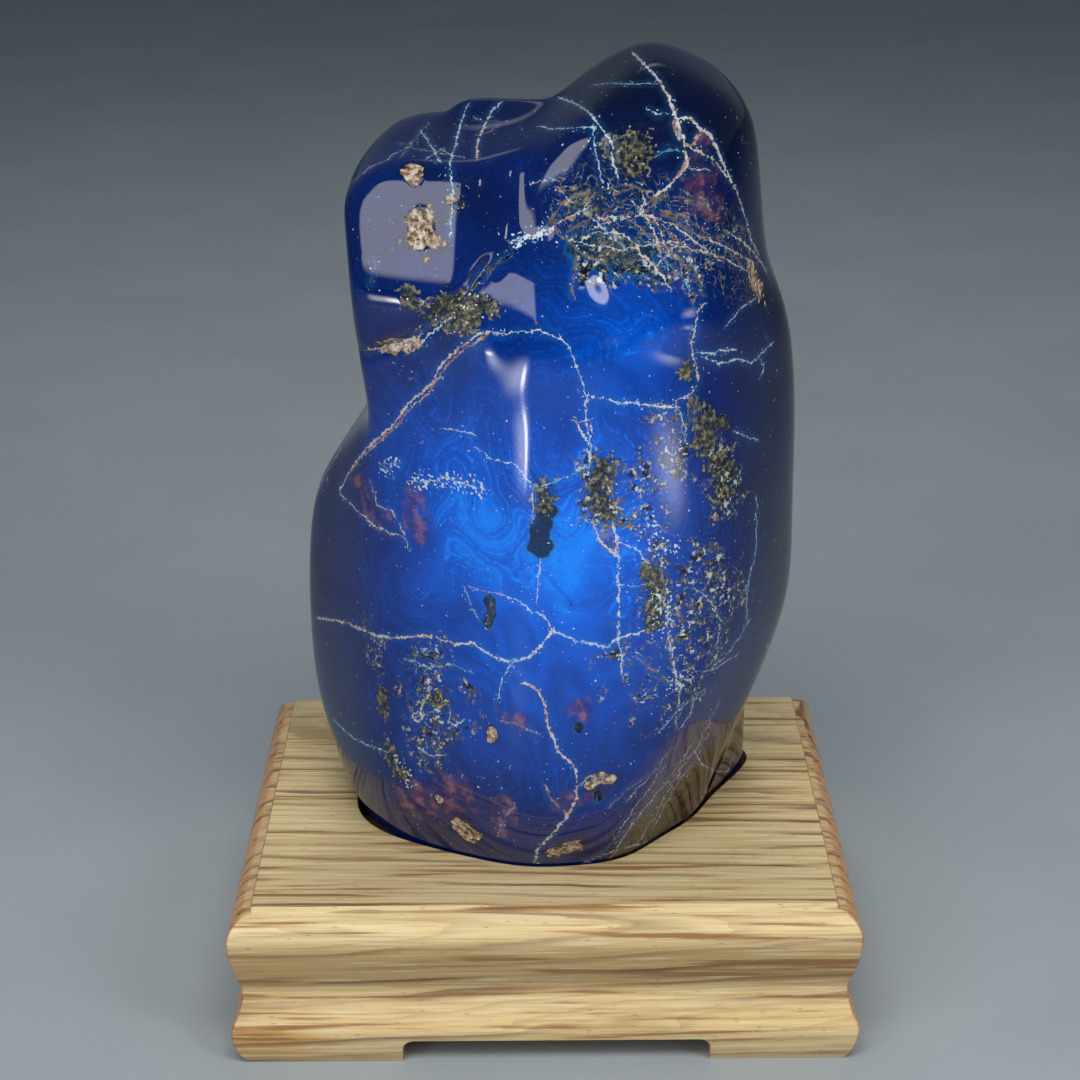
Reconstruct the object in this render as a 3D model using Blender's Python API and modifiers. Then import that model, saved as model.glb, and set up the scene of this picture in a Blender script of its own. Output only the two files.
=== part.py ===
"""Amber freeform: a polished stone standing in the recess of a moulded wooden stand.

Metres, +Z up. The front faces -Y and the stand's feet rest on z = 0.
"""
import math

import bmesh
import bpy
import numpy as np
from mathutils import Vector

MM = 0.001

# Stand sizes, mm
TOP_WIDTH = 156.0
TOP_DEPTH = 129.5
STAND_HEIGHT = 46.0
ARCH_HEIGHT = 8.0
ARCH_ROUND = 3.0
FRONT_ARCH = (-38.5, 44.5)
SIDE_ARCH = (-33.0, 33.0)

# Edge profile of the stand, mm: how far it stands out from the top face, and how far below it
EDGE_PROFILE = (
    (0.0, 0.0), (0.35, 0.35), (0.5, 1.6), (2.5, 1.9), (4.4, 3.1), (5.8, 4.9), (6.5, 7.2), (6.5, 9.6),
    (6.1, 13.0), (5.2, 17.0), (4.1, 20.6), (3.5, 22.7), (3.4, 24.2), (3.7, 27.0), (4.6, 30.4),
    (5.8, 33.0), (6.5, 34.9), (6.5, 36.4), (6.0, 39.4), (5.0, 42.6), (3.7, 45.2), (3.2, 46.0))

# Amber lobes, mm above the stand's top face: centre, edge hardness, and the ground facets of each as
# (azimuth of the facet from the front, tilt up from level, reach from the centre), in degrees and mm
BELLY = ((2.0, 0.0, 75.0), 0.36, (
    (-32, 5, 47.5), (10, 3, 51.5), (28, 4, 57), (60, 3, 61.3), (84, 4, 70.8), (-62, 2, 54.5),
    (-92, -4, 75.2), (78, 32, 90.8), (53, -17, 61.1), (88, -24, 70.2), (8, -30, 75.7),
    (-28, -26, 71.6), (-56, -28, 80.4), (-88, -30, 86), (-92, 36, 64.7), (-60, 29, 75.9),
    (14, 20, 74), (48, 22, 83), (0, 70, 94), (180, 5, 48.5), (140, 4, 57.1), (-140, 6, 56.1),
    (110, 4, 71.2), (-114, 2, 73.4), (150, -38, 80.4), (-150, -38, 87), (-106, -34, 91.7),
    (112, -36, 77), (160, 44, 84), (-150, 44, 75.7), (0, -90, 86.1)))
TOE = ((36.0, 6.0, 14.0), 0.36, (
    (90, 2, 29.9), (62, -4, 14.8), (40, -8, 24.1), (0, -10, 30.1), (-60, 0, 34), (60, 44, 26.2),
    (120, 4, 29.3), (180, 4, 38.3), (-120, 6, 37.9), (150, 44, 36), (0, 88, 30), (0, -90, 24.9)))
SHOULDER = ((2.0, -14.0, 152.0), 0.5, (
    (-30, 2, 29.5), (-19, 21, 34), (14, 6, 31), (55, 10, 28), (10, 58, 27.5), (-60, 29, 31.8),
    (60, 50, 28.2), (0, -24, 34), (60, -20, 27), (-90, 0, 28), (180, 0, 26.8), (0, -90, 22)))
PEAK = ((24.0, 0.0, 160.0), 0.42, (
    (-6, 7, 38.5), (-55, 8, 44), (36, 8, 40), (66, 3, 35.9), (90, 2, 37.9), (-90, 2, 42),
    (90, 22, 46.7), (88, 48, 52.6), (80, 72, 55.7), (-88, 52, 42.2), (-86, 70, 57.3), (0, 50, 54),
    (0, -60, 30), (90, -40, 44), (176, 12, 35.7), (140, 10, 40), (-140, 12, 37.8), (178, 44, 51.4),
    (112, 6, 40.8), (-110, 8, 39.9), (150, 62, 57.1), (180, -60, 59.9)))
LEFT_LOBE = ((-22.0, -1.0, 162.0), 0.55, (
    (-15, 14, 38.4), (40, 8, 34.5), (-60, 4, 42.1), (-92, -7, 26.2), (-92, 28, 36.8),
    (-90, 52, 35.8), (-88, 74, 38.3), (0, 86, 33), (84, -14, 30), (-16, -20, 39.1), (-80, -34, 55),
    (-12, 50, 45.5), (40, -30, 46), (180, 12, 33.3), (-140, 10, 34.1), (-112, 4, 28.5),
    (150, 10, 35.8), (180, 44, 41), (-150, 64, 44.1), (180, -40, 53.9), (-130, -34, 54),
    (0, -90, 50)))
LOBES = (BELLY, TOE, SHOULDER, PEAK, LEFT_LOBE)
LOBE_BLEND = 0.5
AMBER_HEART = (0.0, 0.0, 92.0)
AMBER_STRETCH = (0.62, 0.5, 1.0)
AMBER_GRID = 24
AMBER_FACE_BULGE = 0.12
FARTHEST = 170.0

# Recess in the stand, mm: its clearances round the amber, with the two places where it gapes
RECESS_FLOOR_GAP = 0.3
RECESS_GAP = 0.55
GAPING = ((-72.0, 17.0, 1.8), (110.0, 14.0, 0.9))
RECESS_STEPS = 96

AMBER_COLOR = (0.010, 0.060, 0.330, 1.0)
WOOD_COLOR = (0.560, 0.430, 0.250, 1.0)


def clear_scene():
    """Empty the scene."""
    for obj in list(bpy.data.objects):
        bpy.data.objects.remove(obj, do_unlink=True)


def collection(name):
    """A new collection in the scene."""
    made = bpy.data.collections.new(name)
    bpy.context.scene.collection.children.link(made)
    return made


def finish(name, color, roughness, transmission):
    """A plain material."""
    mat = bpy.data.materials.new(name)
    mat.use_nodes = True
    shader = mat.node_tree.nodes["Principled BSDF"]
    shader.inputs["Base Color"].default_value = color
    shader.inputs["Roughness"].default_value = roughness
    shader.inputs["Transmission Weight"].default_value = transmission
    shader.inputs["IOR"].default_value = 1.54
    return mat


def put_in(bm, name, where, mat=None):
    """Turn a bmesh into an object of a collection."""
    bmesh.ops.recalc_face_normals(bm, faces=bm.faces)
    mesh = bpy.data.meshes.new(name)
    bm.to_mesh(mesh)
    bm.free()
    if mat:
        mesh.materials.append(mat)
    obj = bpy.data.objects.new(name, mesh)
    where.objects.link(obj)
    return obj


# Amber form


def facet_planes(lobe):
    """Facet normals and their distances from the origin."""
    centre, _, facets = lobe
    az, tilt = np.radians(np.array(facets, float)[:, :2]).T
    normals = np.stack([np.sin(az) * np.cos(tilt), -np.cos(az) * np.cos(tilt), np.sin(tilt)], 1)
    return normals, normals @ np.array(centre) + np.array(facets, float)[:, 2]


def swell(points):
    """Slow waves of a hand-ground surface, mm."""
    x, y, z = points.T
    first = 0.7 * np.sin(x / 15.0 + 0.6) * np.sin(z / 21.0 + 1.9)
    return first + 0.6 * np.sin(y / 13.0 + 2.0 + x / 31.0) * np.sin(z / 17.0 + 0.4)


def amber_field(points):
    """Depth in mm at points: negative inside, the facets of a lobe blended, then the lobes."""
    depths = []
    for lobe in LOBES:
        normals, reach = facet_planes(lobe)
        beyond = points @ normals.T - reach
        top = beyond.max(1)
        depths.append(top + np.log(np.exp(lobe[1] * (beyond - top[:, None])).sum(1)) / lobe[1])
    depths = np.stack(depths, 1)
    low = depths.min(1)
    joined = low - np.log(np.exp(-LOBE_BLEND * (depths - low[:, None])).sum(1)) / LOBE_BLEND
    return joined + swell(points)


def reach_along(starts, directions, bulge):
    """How far from each start its direction meets the amber's surface."""
    near = np.zeros(len(directions))
    far = np.full(len(directions), FARTHEST)
    for _ in range(36):
        mid = 0.5 * (near + far)
        inside = amber_field(starts + directions * mid[:, None]) < bulge
        near = np.where(inside, mid, near)
        far = np.where(inside, far, mid)
    return near


def amber_points(cube_points, bulge):
    """Surface points in mm for points of a cube from -1 to 1."""
    rays = np.tan(np.array(cube_points) * math.pi / 4) * np.array(AMBER_STRETCH)
    rays /= np.linalg.norm(rays, axis=1, keepdims=True)
    heart = np.array(AMBER_HEART)
    return heart + rays * reach_along(heart, rays, bulge)[:, None]


def build_amber(where, mat):
    """The stone: a finely divided cube drawn out onto the blended facets."""
    bm = bmesh.new()
    bmesh.ops.create_cube(bm, size=2.0)
    bmesh.ops.subdivide_edges(bm, edges=bm.edges, cuts=AMBER_GRID - 1, use_grid_fill=True)
    surface = amber_points([v.co[:] for v in bm.verts], AMBER_FACE_BULGE)
    for vert, (x, y, z) in zip(bm.verts, surface):
        vert.co = Vector((x, y, z + STAND_HEIGHT)) * MM
    return put_in(bm, "amber", where, mat), float(surface[:, 2].min())


# Stand


def moulded_block(where, mat):
    """The stand's block: rectangular sections lofted down the edge profile, with mitred corners."""
    bm = bmesh.new()
    rings = []
    for out, down in EDGE_PROFILE:
        half_x, half_y, z = TOP_WIDTH / 2 + out, TOP_DEPTH / 2 + out, STAND_HEIGHT - down
        corners = ((-half_x, -half_y), (half_x, -half_y), (half_x, half_y), (-half_x, half_y))
        rings.append([bm.verts.new(Vector((x, y, z)) * MM) for x, y in corners])
    for upper, lower in zip(rings, rings[1:]):
        for i in range(4):
            j = (i + 1) % 4
            bm.faces.new((upper[i], upper[j], lower[j], lower[i]))
    bm.faces.new(rings[0])
    bm.faces.new(rings[-1])
    return put_in(bm, "stand", where, mat)


def arch_cutter(where, name, low, high):
    """A block with rounded upper edges that cuts a way under the stand from front to back."""
    bpy.ops.mesh.primitive_cube_add(size=1.0)
    cutter = bpy.context.active_object
    cutter.name = name
    for vert in cutter.data.vertices:
        x, y, z = vert.co
        vert.co = Vector(((low + high) / 2 + x * (high - low), y * 260.0, (ARCH_HEIGHT - 10.0) / 2
                          + z * (ARCH_HEIGHT + 10.0))) * MM
    weights = cutter.data.attributes.new("bevel_weight_edge", "FLOAT", "EDGE")
    for edge in cutter.data.edges:
        one, other = (cutter.data.vertices[v].co for v in edge.vertices)
        along_the_roof = one.z > 0 and other.z > 0 and abs(one.x - other.x) < MM
        weights.data[edge.index].value = 1.0 if along_the_roof else 0.0
    bevel = cutter.modifiers.new("round", "BEVEL")
    bevel.limit_method = "WEIGHT"
    bevel.width = ARCH_ROUND * MM
    bevel.segments = 5
    return keep_as_cutter(cutter, where)


def recess_cutter(where, floor):
    """The amber's own outline at the stand's top face, widened by the clearance and drawn down."""
    angles = np.radians(np.arange(RECESS_STEPS) * 360.0 / RECESS_STEPS)
    ways = np.stack([np.sin(angles), -np.cos(angles), 0 * angles], 1)
    reach = np.zeros(RECESS_STEPS)
    for depth in (0.0, -3.0, -6.0, -9.0):
        reach = np.maximum(reach, reach_along(np.array((0.0, 0.0, depth)), ways, AMBER_FACE_BULGE))
    gap = np.full(RECESS_STEPS, RECESS_GAP)
    for azimuth, spread, extra in GAPING:
        turn = (np.degrees(angles) - azimuth + 180.0) % 360.0 - 180.0
        gap += extra * np.exp(-(turn / spread) ** 2)
    bm = bmesh.new()
    rim = [bm.verts.new(Vector((x, y, STAND_HEIGHT + 5.0)) * MM)
           for x, y, _ in ways * (reach + gap)[:, None]]
    lid = bm.faces.new(rim)
    drawn = bmesh.ops.extrude_face_region(bm, geom=[lid])["geom"]
    for item in drawn:
        if isinstance(item, bmesh.types.BMVert):
            item.co.z = (STAND_HEIGHT + floor) * MM
    return keep_as_cutter(put_in(bm, "cut_recess", where), where)


def keep_as_cutter(obj, where):
    """Keep an object as a hidden boolean tool."""
    for old in list(obj.users_collection):
        old.objects.unlink(obj)
    where.objects.link(obj)
    obj.hide_render = True
    obj.display_type = "WIRE"
    return obj


def cut(obj, cutter):
    """Cut one object out of another."""
    boolean = obj.modifiers.new(cutter.name, "BOOLEAN")
    boolean.operation = "DIFFERENCE"
    boolean.solver = "EXACT"
    boolean.object = cutter


def main():
    clear_scene()
    parts = collection("amber_freeform")
    cutters = collection("cutters")
    amber_mat = finish("amber", AMBER_COLOR, 0.08, 0.3)
    wood_mat = finish("wood", WOOD_COLOR, 0.35, 0.0)
    _, lowest = build_amber(parts, amber_mat)
    stand = moulded_block(parts, wood_mat)
    cut(stand, recess_cutter(cutters, lowest - RECESS_FLOOR_GAP))
    cut(stand, arch_cutter(cutters, "cut_under_front", *FRONT_ARCH))
    side_way = arch_cutter(cutters, "cut_under_sides", *SIDE_ARCH)
    side_way.rotation_euler.z = math.radians(90.0)
    cut(stand, side_way)


main()
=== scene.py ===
"""Looks of the amber freeform: a polished blue stone, veined and pitted, in a moulded wooden stand.

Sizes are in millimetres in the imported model's frame, +Z up with the feet on z = 0 and the front
facing -Y. They become metres where a mesh is written. Pixels are those of the square photograph.
"""
from __future__ import annotations

import logging
import math
from dataclasses import dataclass, field
from enum import Enum

import bmesh
import bpy
import numpy as np
from mathutils import Matrix, Vector, noise
from mathutils.bvhtree import BVHTree


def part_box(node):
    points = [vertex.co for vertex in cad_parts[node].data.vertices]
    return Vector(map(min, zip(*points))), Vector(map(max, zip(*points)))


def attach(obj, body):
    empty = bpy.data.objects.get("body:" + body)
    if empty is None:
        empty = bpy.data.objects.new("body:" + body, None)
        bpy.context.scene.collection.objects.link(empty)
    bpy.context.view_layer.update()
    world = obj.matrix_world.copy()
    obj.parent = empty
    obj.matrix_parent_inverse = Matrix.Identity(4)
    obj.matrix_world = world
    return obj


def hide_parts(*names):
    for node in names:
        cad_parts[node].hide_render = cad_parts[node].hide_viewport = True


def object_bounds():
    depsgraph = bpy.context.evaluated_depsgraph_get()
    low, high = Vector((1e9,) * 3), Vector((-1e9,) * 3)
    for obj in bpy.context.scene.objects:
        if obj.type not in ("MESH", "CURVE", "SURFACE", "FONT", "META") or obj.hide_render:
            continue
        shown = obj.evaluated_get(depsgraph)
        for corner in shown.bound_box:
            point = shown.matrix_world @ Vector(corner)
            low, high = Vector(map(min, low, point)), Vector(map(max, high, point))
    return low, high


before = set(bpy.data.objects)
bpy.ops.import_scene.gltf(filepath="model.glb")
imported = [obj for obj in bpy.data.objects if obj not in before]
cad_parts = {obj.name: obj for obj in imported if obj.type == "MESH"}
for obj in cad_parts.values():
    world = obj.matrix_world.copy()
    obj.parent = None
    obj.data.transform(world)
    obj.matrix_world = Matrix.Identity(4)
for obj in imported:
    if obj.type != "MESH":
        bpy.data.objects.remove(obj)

CAD_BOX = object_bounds()
MM = 0.001
PHOTO_SIDE = 1080
SENSOR = 36.0
SEED = 11

log = logging.getLogger("amber_freeform")
Socket = bpy.types.NodeSocket
Pixels = tuple[tuple[float, float], ...]


# Writing nodes


class Graph:
    """Writes nodes into one tree. Inputs are numbers, tuples or the sockets of earlier nodes."""

    def __init__(self, tree: bpy.types.NodeTree) -> None:
        """Keep the tree that the nodes go into."""
        self.tree = tree

    def node(self, kind: str, inputs: object = (), **settings: object) -> bpy.types.Node:
        """Add a node.

        Args:
            kind: Blender's name for the node.
            inputs: Values in socket order, or by socket name or index.
            settings: Properties of the node.

        Returns:
            The node.
        """
        made = self.tree.nodes.new(kind)
        for name, value in settings.items():
            setattr(made, name, value)
        pairs = inputs.items() if isinstance(inputs, dict) else enumerate(inputs)
        for key, value in pairs:
            if isinstance(value, Socket):
                self.tree.links.new(value, made.inputs[key])
            elif value is not None:
                made.inputs[key].default_value = value
        return made

    def math(self, operation: str, *values: object) -> Socket:
        """Add a Math node and return its result."""
        return self.node("ShaderNodeMath", values, operation=operation).outputs[0]

    def vector(self, operation: str, *values: object) -> Socket:
        """Add a Vector Math node and return the vector it gives."""
        return self.node("ShaderNodeVectorMath", values, operation=operation).outputs["Vector"]

    def scaled(self, vector: Socket, factor: float) -> Socket:
        """Multiply a vector by one number."""
        inputs = {"Vector": vector, "Scale": factor}
        return self.node("ShaderNodeVectorMath", inputs, operation="SCALE").outputs["Vector"]

    def step(self, value: Socket, low: object, high: object) -> Socket:
        """Rise smoothly from 0 at low to 1 at high, or fall where low is the larger."""
        inputs = {"Value": value, "From Min": low, "From Max": high}
        return self.node("ShaderNodeMapRange", inputs, interpolation_type="SMOOTHSTEP").outputs[0]

    def mix(self, factor: object, first: object, second: object, blend: str = "MIX") -> Socket:
        """Mix two colours."""
        inputs = {0: factor, 6: first, 7: second}
        return self.node("ShaderNodeMix", inputs, data_type="RGBA", blend_type=blend).outputs[2]

    def ramp(self, value: Socket, stops: tuple) -> Socket:
        """Turn a value into a colour.

        Args:
            value: Place on the ramp, 0 to 1.
            stops: Pairs of a place and a linear RGB colour.

        Returns:
            The colour.
        """
        node = self.node("ShaderNodeValToRGB", (value,))
        elements = node.color_ramp.elements
        while len(elements) < len(stops):
            elements.new(1.0)
        for element, (place, colour) in zip(elements, stops):
            element.position = place
            element.color = (*colour, 1.0)
        return node.outputs["Color"]

    def noise(self, vector: Socket, scale: float, detail: float = 2.0, out: str = "Fac") -> Socket:
        """Add a Noise Texture and return one of its outputs."""
        inputs = {"Vector": vector, "Scale": scale, "Detail": detail}
        return self.node("ShaderNodeTexNoise", inputs).outputs[out]

    def wander(self, vector: Socket, scale: float, reach: float, detail: float = 2.0) -> Socket:
        """A vector that drifts up to half of reach each way over the surface."""
        drift = self.vector("SUBTRACT", self.noise(vector, scale, detail, "Color"), (0.5, 0.5, 0.5))
        return self.scaled(drift, reach)

    def place_mm(self) -> Socket:
        """Object coordinates in millimetres."""
        return self.scaled(self.node("ShaderNodeTexCoord").outputs["Object"], 1.0 / MM)

    def attribute(self, name: str) -> bpy.types.Node:
        """Add a node that reads one of the mesh's attributes."""
        return self.node("ShaderNodeAttribute", attribute_name=name)


def new_group(name: str, inputs: tuple[str, ...], outputs: tuple[str, ...]) -> tuple:
    """Start a shader node group; sockets whose name starts with a star carry vectors.

    Args:
        name: Name of the group.
        inputs: Names of its inputs.
        outputs: Names of its outputs.

    Returns:
        The graph, the input node and the output node.
    """
    tree = bpy.data.node_groups.new(name, "ShaderNodeTree")
    for names, way in ((inputs, "INPUT"), (outputs, "OUTPUT")):
        for label in names:
            kind = "NodeSocketVector" if label.startswith("*") else "NodeSocketFloat"
            tree.interface.new_socket(label.lstrip("*"), in_out=way, socket_type=kind)
    graph = Graph(tree)
    return graph, graph.node("NodeGroupInput"), graph.node("NodeGroupOutput")


def new_material(name: str) -> tuple[bpy.types.Material, Graph, bpy.types.Node]:
    """Start a material.

    Args:
        name: Name of the material.

    Returns:
        The material, its graph and its Principled shader.
    """
    material = bpy.data.materials.new(name)
    material.use_nodes = True
    return material, Graph(material.node_tree), material.node_tree.nodes["Principled BSDF"]


# Making meshes


def mesh_object(name: str, points: np.ndarray, faces: np.ndarray) -> bpy.types.Object:
    """Make an object from points in millimetres, smoothly shaded.

    Args:
        name: Name of the object.
        points: One row for each point.
        faces: Point numbers, one row for each face.

    Returns:
        The object, in the scene.
    """
    mesh = bpy.data.meshes.new(name)
    mesh.from_pydata((points * MM).tolist(), [], faces.tolist())
    mesh.shade_smooth()
    obj = bpy.data.objects.new(name, mesh)
    bpy.context.scene.collection.objects.link(obj)
    return obj


def settle(obj: bpy.types.Object) -> bpy.types.Object:
    """Turn an object's modifiers into its plain mesh and take them off."""
    evaluated = obj.evaluated_get(bpy.context.evaluated_depsgraph_get())
    mesh = bpy.data.meshes.new_from_object(evaluated)
    obj.modifiers.clear()
    obj.data = mesh
    return obj


def points_and_normals(mesh: bpy.types.Mesh) -> tuple[np.ndarray, np.ndarray]:
    """Points in millimetres and unit normals of a mesh."""
    count = len(mesh.vertices)
    points, normals = np.empty(count * 3), np.empty(count * 3)
    mesh.vertices.foreach_get("co", points)
    mesh.vertices.foreach_get("normal", normals)
    return points.reshape(-1, 3) / MM, normals.reshape(-1, 3)


def box_lattice(counts: tuple[int, int, int]) -> tuple[np.ndarray, np.ndarray]:
    """Divide the faces of a cube from -1 to 1 into quads that share their edge points.

    Args:
        counts: Divisions along X, Y and Z.

    Returns:
        The points, and the outward-facing quads.
    """
    points, quads, offset = [], [], 0
    for axis in range(3):
        u, v = (axis + 1) % 3, (axis + 2) % 3
        along = np.meshgrid(np.linspace(-1, 1, counts[u] + 1), np.linspace(-1, 1, counts[v] + 1),
                            indexing="ij")
        for side in (-1.0, 1.0):
            face = np.full(along[0].shape + (3,), side)
            face[..., u], face[..., v] = along
            ids = offset + np.arange(along[0].size).reshape(along[0].shape)
            ring = (ids[:-1, :-1], ids[1:, :-1], ids[1:, 1:], ids[:-1, 1:])
            quads.append(np.stack(ring if side > 0 else ring[::-1], -1).reshape(-1, 4))
            points.append(face.reshape(-1, 3))
            offset += along[0].size
    merged, index = np.unique(np.round(np.concatenate(points), 9), axis=0, return_inverse=True)
    return merged, index.reshape(-1)[np.concatenate(quads)]


# Camera, light and floor


@dataclass(frozen=True)
class PhotoCamera:
    """The photograph's viewpoint, solved from the stand's edges."""

    place: tuple[float, float, float] = (0.4, -639.1, 374.2)
    pitch: float = 21.31
    yaw: float = -0.08
    roll: float = -0.45
    focal: float = 2461.0

    def axes(self) -> np.ndarray:
        """Rows that point right, up and forward from the camera."""
        pitch, yaw, roll = np.radians((self.pitch, self.yaw, self.roll))
        forward = np.array((np.sin(yaw) * np.cos(pitch), np.cos(yaw) * np.cos(pitch), -np.sin(pitch)))
        level = np.array((np.cos(yaw), -np.sin(yaw), 0.0))
        rise = np.cross(level, forward)
        right = np.cos(roll) * level + np.sin(roll) * rise
        return np.stack((right, -np.sin(roll) * level + np.cos(roll) * rise, forward))

    def ray(self, pixel: tuple[float, float]) -> np.ndarray:
        """Direction in which the camera sees a pixel."""
        middle = PHOTO_SIDE / 2
        way = np.array((pixel[0] - middle, middle - pixel[1], self.focal)) @ self.axes()
        return way / np.linalg.norm(way)

    def build(self) -> None:
        """Put the camera in the scene and make it the scene's own."""
        data = bpy.data.cameras.new("photo_camera")
        data.sensor_width = SENSOR
        data.lens = self.focal / PHOTO_SIDE * SENSOR
        data.clip_start = 0.01
        camera = bpy.data.objects.new("photo_camera", data)
        right, up, forward = self.axes()
        turn = Matrix((right, up, -forward)).transposed().to_4x4()
        turn.translation = Vector(self.place) * MM
        camera.matrix_world = turn
        bpy.context.scene.collection.objects.link(camera)
        bpy.context.scene.camera = camera


@dataclass(frozen=True)
class Softbox:
    """One soft lamp that faces the stone: azimuth from the front and elevation in degrees, metres."""

    name: str
    azimuth: float
    elevation: float
    distance: float
    width: float
    height: float
    radiance: float
    mirrored: bool = True
    edge: float = 0.16
    aim: tuple[float, float, float] = (0.0, 0.0, 0.14)

    def soften(self, data: bpy.types.AreaLight) -> None:
        """Let the lamp fade towards its edges."""
        data.use_nodes = True
        graph = Graph(data.node_tree)
        across = graph.node("ShaderNodeNewGeometry").outputs["Parametric"]
        strength = 1.0
        for value in graph.node("ShaderNodeSeparateXYZ", (across,)).outputs[:2]:
            rim = graph.math("MULTIPLY", graph.step(value, 0.0, self.edge),
                             graph.step(value, 1.0, 1.0 - self.edge))
            strength = graph.math("MULTIPLY", rim, strength)
        graph.tree.links.new(strength, graph.tree.nodes["Emission"].inputs["Strength"])

    def build(self) -> None:
        """Put the lamp in the scene."""
        data = bpy.data.lights.new(self.name, "AREA")
        data.shape = "RECTANGLE"
        data.size, data.size_y = self.width, self.height
        data.energy = self.radiance * math.pi * self.width * self.height
        self.soften(data)
        lamp = bpy.data.objects.new(self.name, data)
        lamp.visible_glossy = self.mirrored
        azimuth, elevation = math.radians(self.azimuth), math.radians(self.elevation)
        way = Vector((math.sin(azimuth) * math.cos(elevation),
                      -math.cos(azimuth) * math.cos(elevation), math.sin(elevation)))
        lamp.location = Vector(self.aim) + way * self.distance
        lamp.rotation_euler = way.to_track_quat("Z", "Y").to_euler()
        bpy.context.scene.collection.objects.link(lamp)


@dataclass(frozen=True)
class Studio:
    """The floor, the surroundings and the lamps."""

    floor_side: float = 12.0
    floor_colour: tuple[float, float, float] = (0.36, 0.40, 0.42)
    around_colour: tuple[float, float, float] = (0.60, 0.76, 0.92)
    around_strength: float = 0.13
    lamps: tuple[Softbox, ...] = (
        Softbox("left_softbox", -35.0, 27.0, 1.05, 0.56, 0.64, 3.6),
        Softbox("right_softbox", 41.0, 30.0, 1.05, 0.34, 0.50, 7.0, mirrored=False),
        Softbox("front_softbox", 0.0, 50.0, 1.10, 0.90, 0.42, 9.5, mirrored=False),
        Softbox("rear_softbox", 180.0, 50.0, 1.15, 0.80, 0.40, 3.0, mirrored=False),
        Softbox("rear_strip", 180.0, 40.0, 1.15, 0.50, 0.22, 0.7, edge=0.5),
        Softbox("right_strip", 39.0, 33.0, 1.05, 0.09, 0.26, 7.0),
        Softbox("left_card", -38.0, 0.0, 0.52, 0.17, 0.10, 6.0, edge=0.45, aim=(0.0, 0.0, 0.078)),
        Softbox("left_core", -35.0, 0.0, 0.52, 0.04, 0.07, 14.0, edge=0.4, aim=(0.0, 0.0, 0.072)),
        Softbox("right_card", 40.5, 0.0, 0.50, 0.15, 0.08, 4.0, edge=0.5, aim=(0.0, 0.0, 0.062)),
        Softbox("right_core", 40.5, 0.0, 0.50, 0.04, 0.06, 14.0, edge=0.4, aim=(0.0, 0.0, 0.062)),
        Softbox("right_painted_glow_and_shade", 42.0, 0.0, 0.90, 0.44, 0.12, 5.0, edge=0.5, aim=(0.0, 0.0, 0.142)),
    )

    def build_floor(self) -> None:
        """A plain pale floor with a faint mottle."""
        half = self.floor_side / 2 / MM
        corners = np.array(((-half, -half, 0), (half, -half, 0), (half, half, 0), (-half, half, 0)), float)
        floor = mesh_object("floor", corners, np.array(((0, 1, 2, 3),)))
        material, graph, shader = new_material("pale_floor")
        mottle = graph.step(graph.noise(graph.place_mm(), 0.012, 5.0), 0.3, 0.7)
        darker = tuple(0.93 * value for value in self.floor_colour)
        colour = graph.mix(mottle, (*darker, 1.0), (*self.floor_colour, 1.0))
        graph.tree.links.new(colour, shader.inputs["Base Color"])
        shader.inputs["Roughness"].default_value = 0.75
        floor.data.materials.append(material)

    def build_around(self) -> None:
        """Even light from all round."""
        world = bpy.data.worlds.new("studio")
        world.use_nodes = True
        back = world.node_tree.nodes["Background"]
        back.inputs["Color"].default_value = (*self.around_colour, 1.0)
        back.inputs["Strength"].default_value = self.around_strength
        bpy.context.scene.world = world
        bpy.context.scene.view_settings.view_transform = "Standard"

    def build(self) -> None:
        """Build the floor, the surroundings and the lamps."""
        self.build_floor()
        self.build_around()
        for lamp in self.lamps:
            lamp.build()
        log.info("studio: floor and %d lamps", len(self.lamps))


# Form of the stone


@dataclass(frozen=True)
class Lobe:
    """One lobe of the stone, millimetres above the stand's top face.

    Each facet is its azimuth from the front, its tilt up from level and its reach from the centre.
    """

    centre: tuple[float, float, float]
    hardness: float
    facets: tuple[tuple[float, float, float], ...]

    def depth(self, points: np.ndarray) -> np.ndarray:
        """How far points lie outside the blended facets."""
        azimuth, tilt = np.radians(np.array(self.facets)[:, :2]).T
        across = np.cos(tilt)
        normals = np.stack((np.sin(azimuth) * across, -np.cos(azimuth) * across, np.sin(tilt)), 1)
        reach = normals @ np.array(self.centre) + np.array(self.facets)[:, 2]
        beyond = points @ normals.T - reach
        top = beyond.max(1)
        return top + np.log(np.exp(self.hardness * (beyond - top[:, None])).sum(1)) / self.hardness


BELLY = Lobe((2.0, 0.0, 75.0), 0.36, (
    (-32, 5, 47.5), (10, 3, 51.5), (28, 4, 57), (60, 3, 61.3), (84, 4, 70.8), (-62, 2, 54.5),
    (-92, -4, 75.2), (78, 32, 90.8), (53, -17, 61.1), (88, -24, 70.2), (8, -30, 75.7),
    (-28, -26, 71.6), (-56, -28, 80.4), (-88, -30, 86), (-92, 36, 64.7), (-60, 29, 75.9),
    (14, 20, 74), (48, 22, 83), (0, 70, 94), (180, 5, 48.5), (140, 4, 57.1), (-140, 6, 56.1),
    (110, 4, 71.2), (-114, 2, 73.4), (150, -38, 80.4), (-150, -38, 87), (-106, -34, 91.7),
    (112, -36, 77), (160, 44, 84), (-150, 44, 75.7), (0, -90, 86.1)))
TOE = Lobe((36.0, 6.0, 14.0), 0.36, (
    (90, 2, 29.9), (62, -4, 14.8), (40, -8, 24.1), (0, -10, 30.1), (-60, 0, 34), (60, 44, 26.2),
    (120, 4, 29.3), (180, 4, 38.3), (-120, 6, 37.9), (150, 44, 36), (0, 88, 30), (0, -90, 24.9)))
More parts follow.
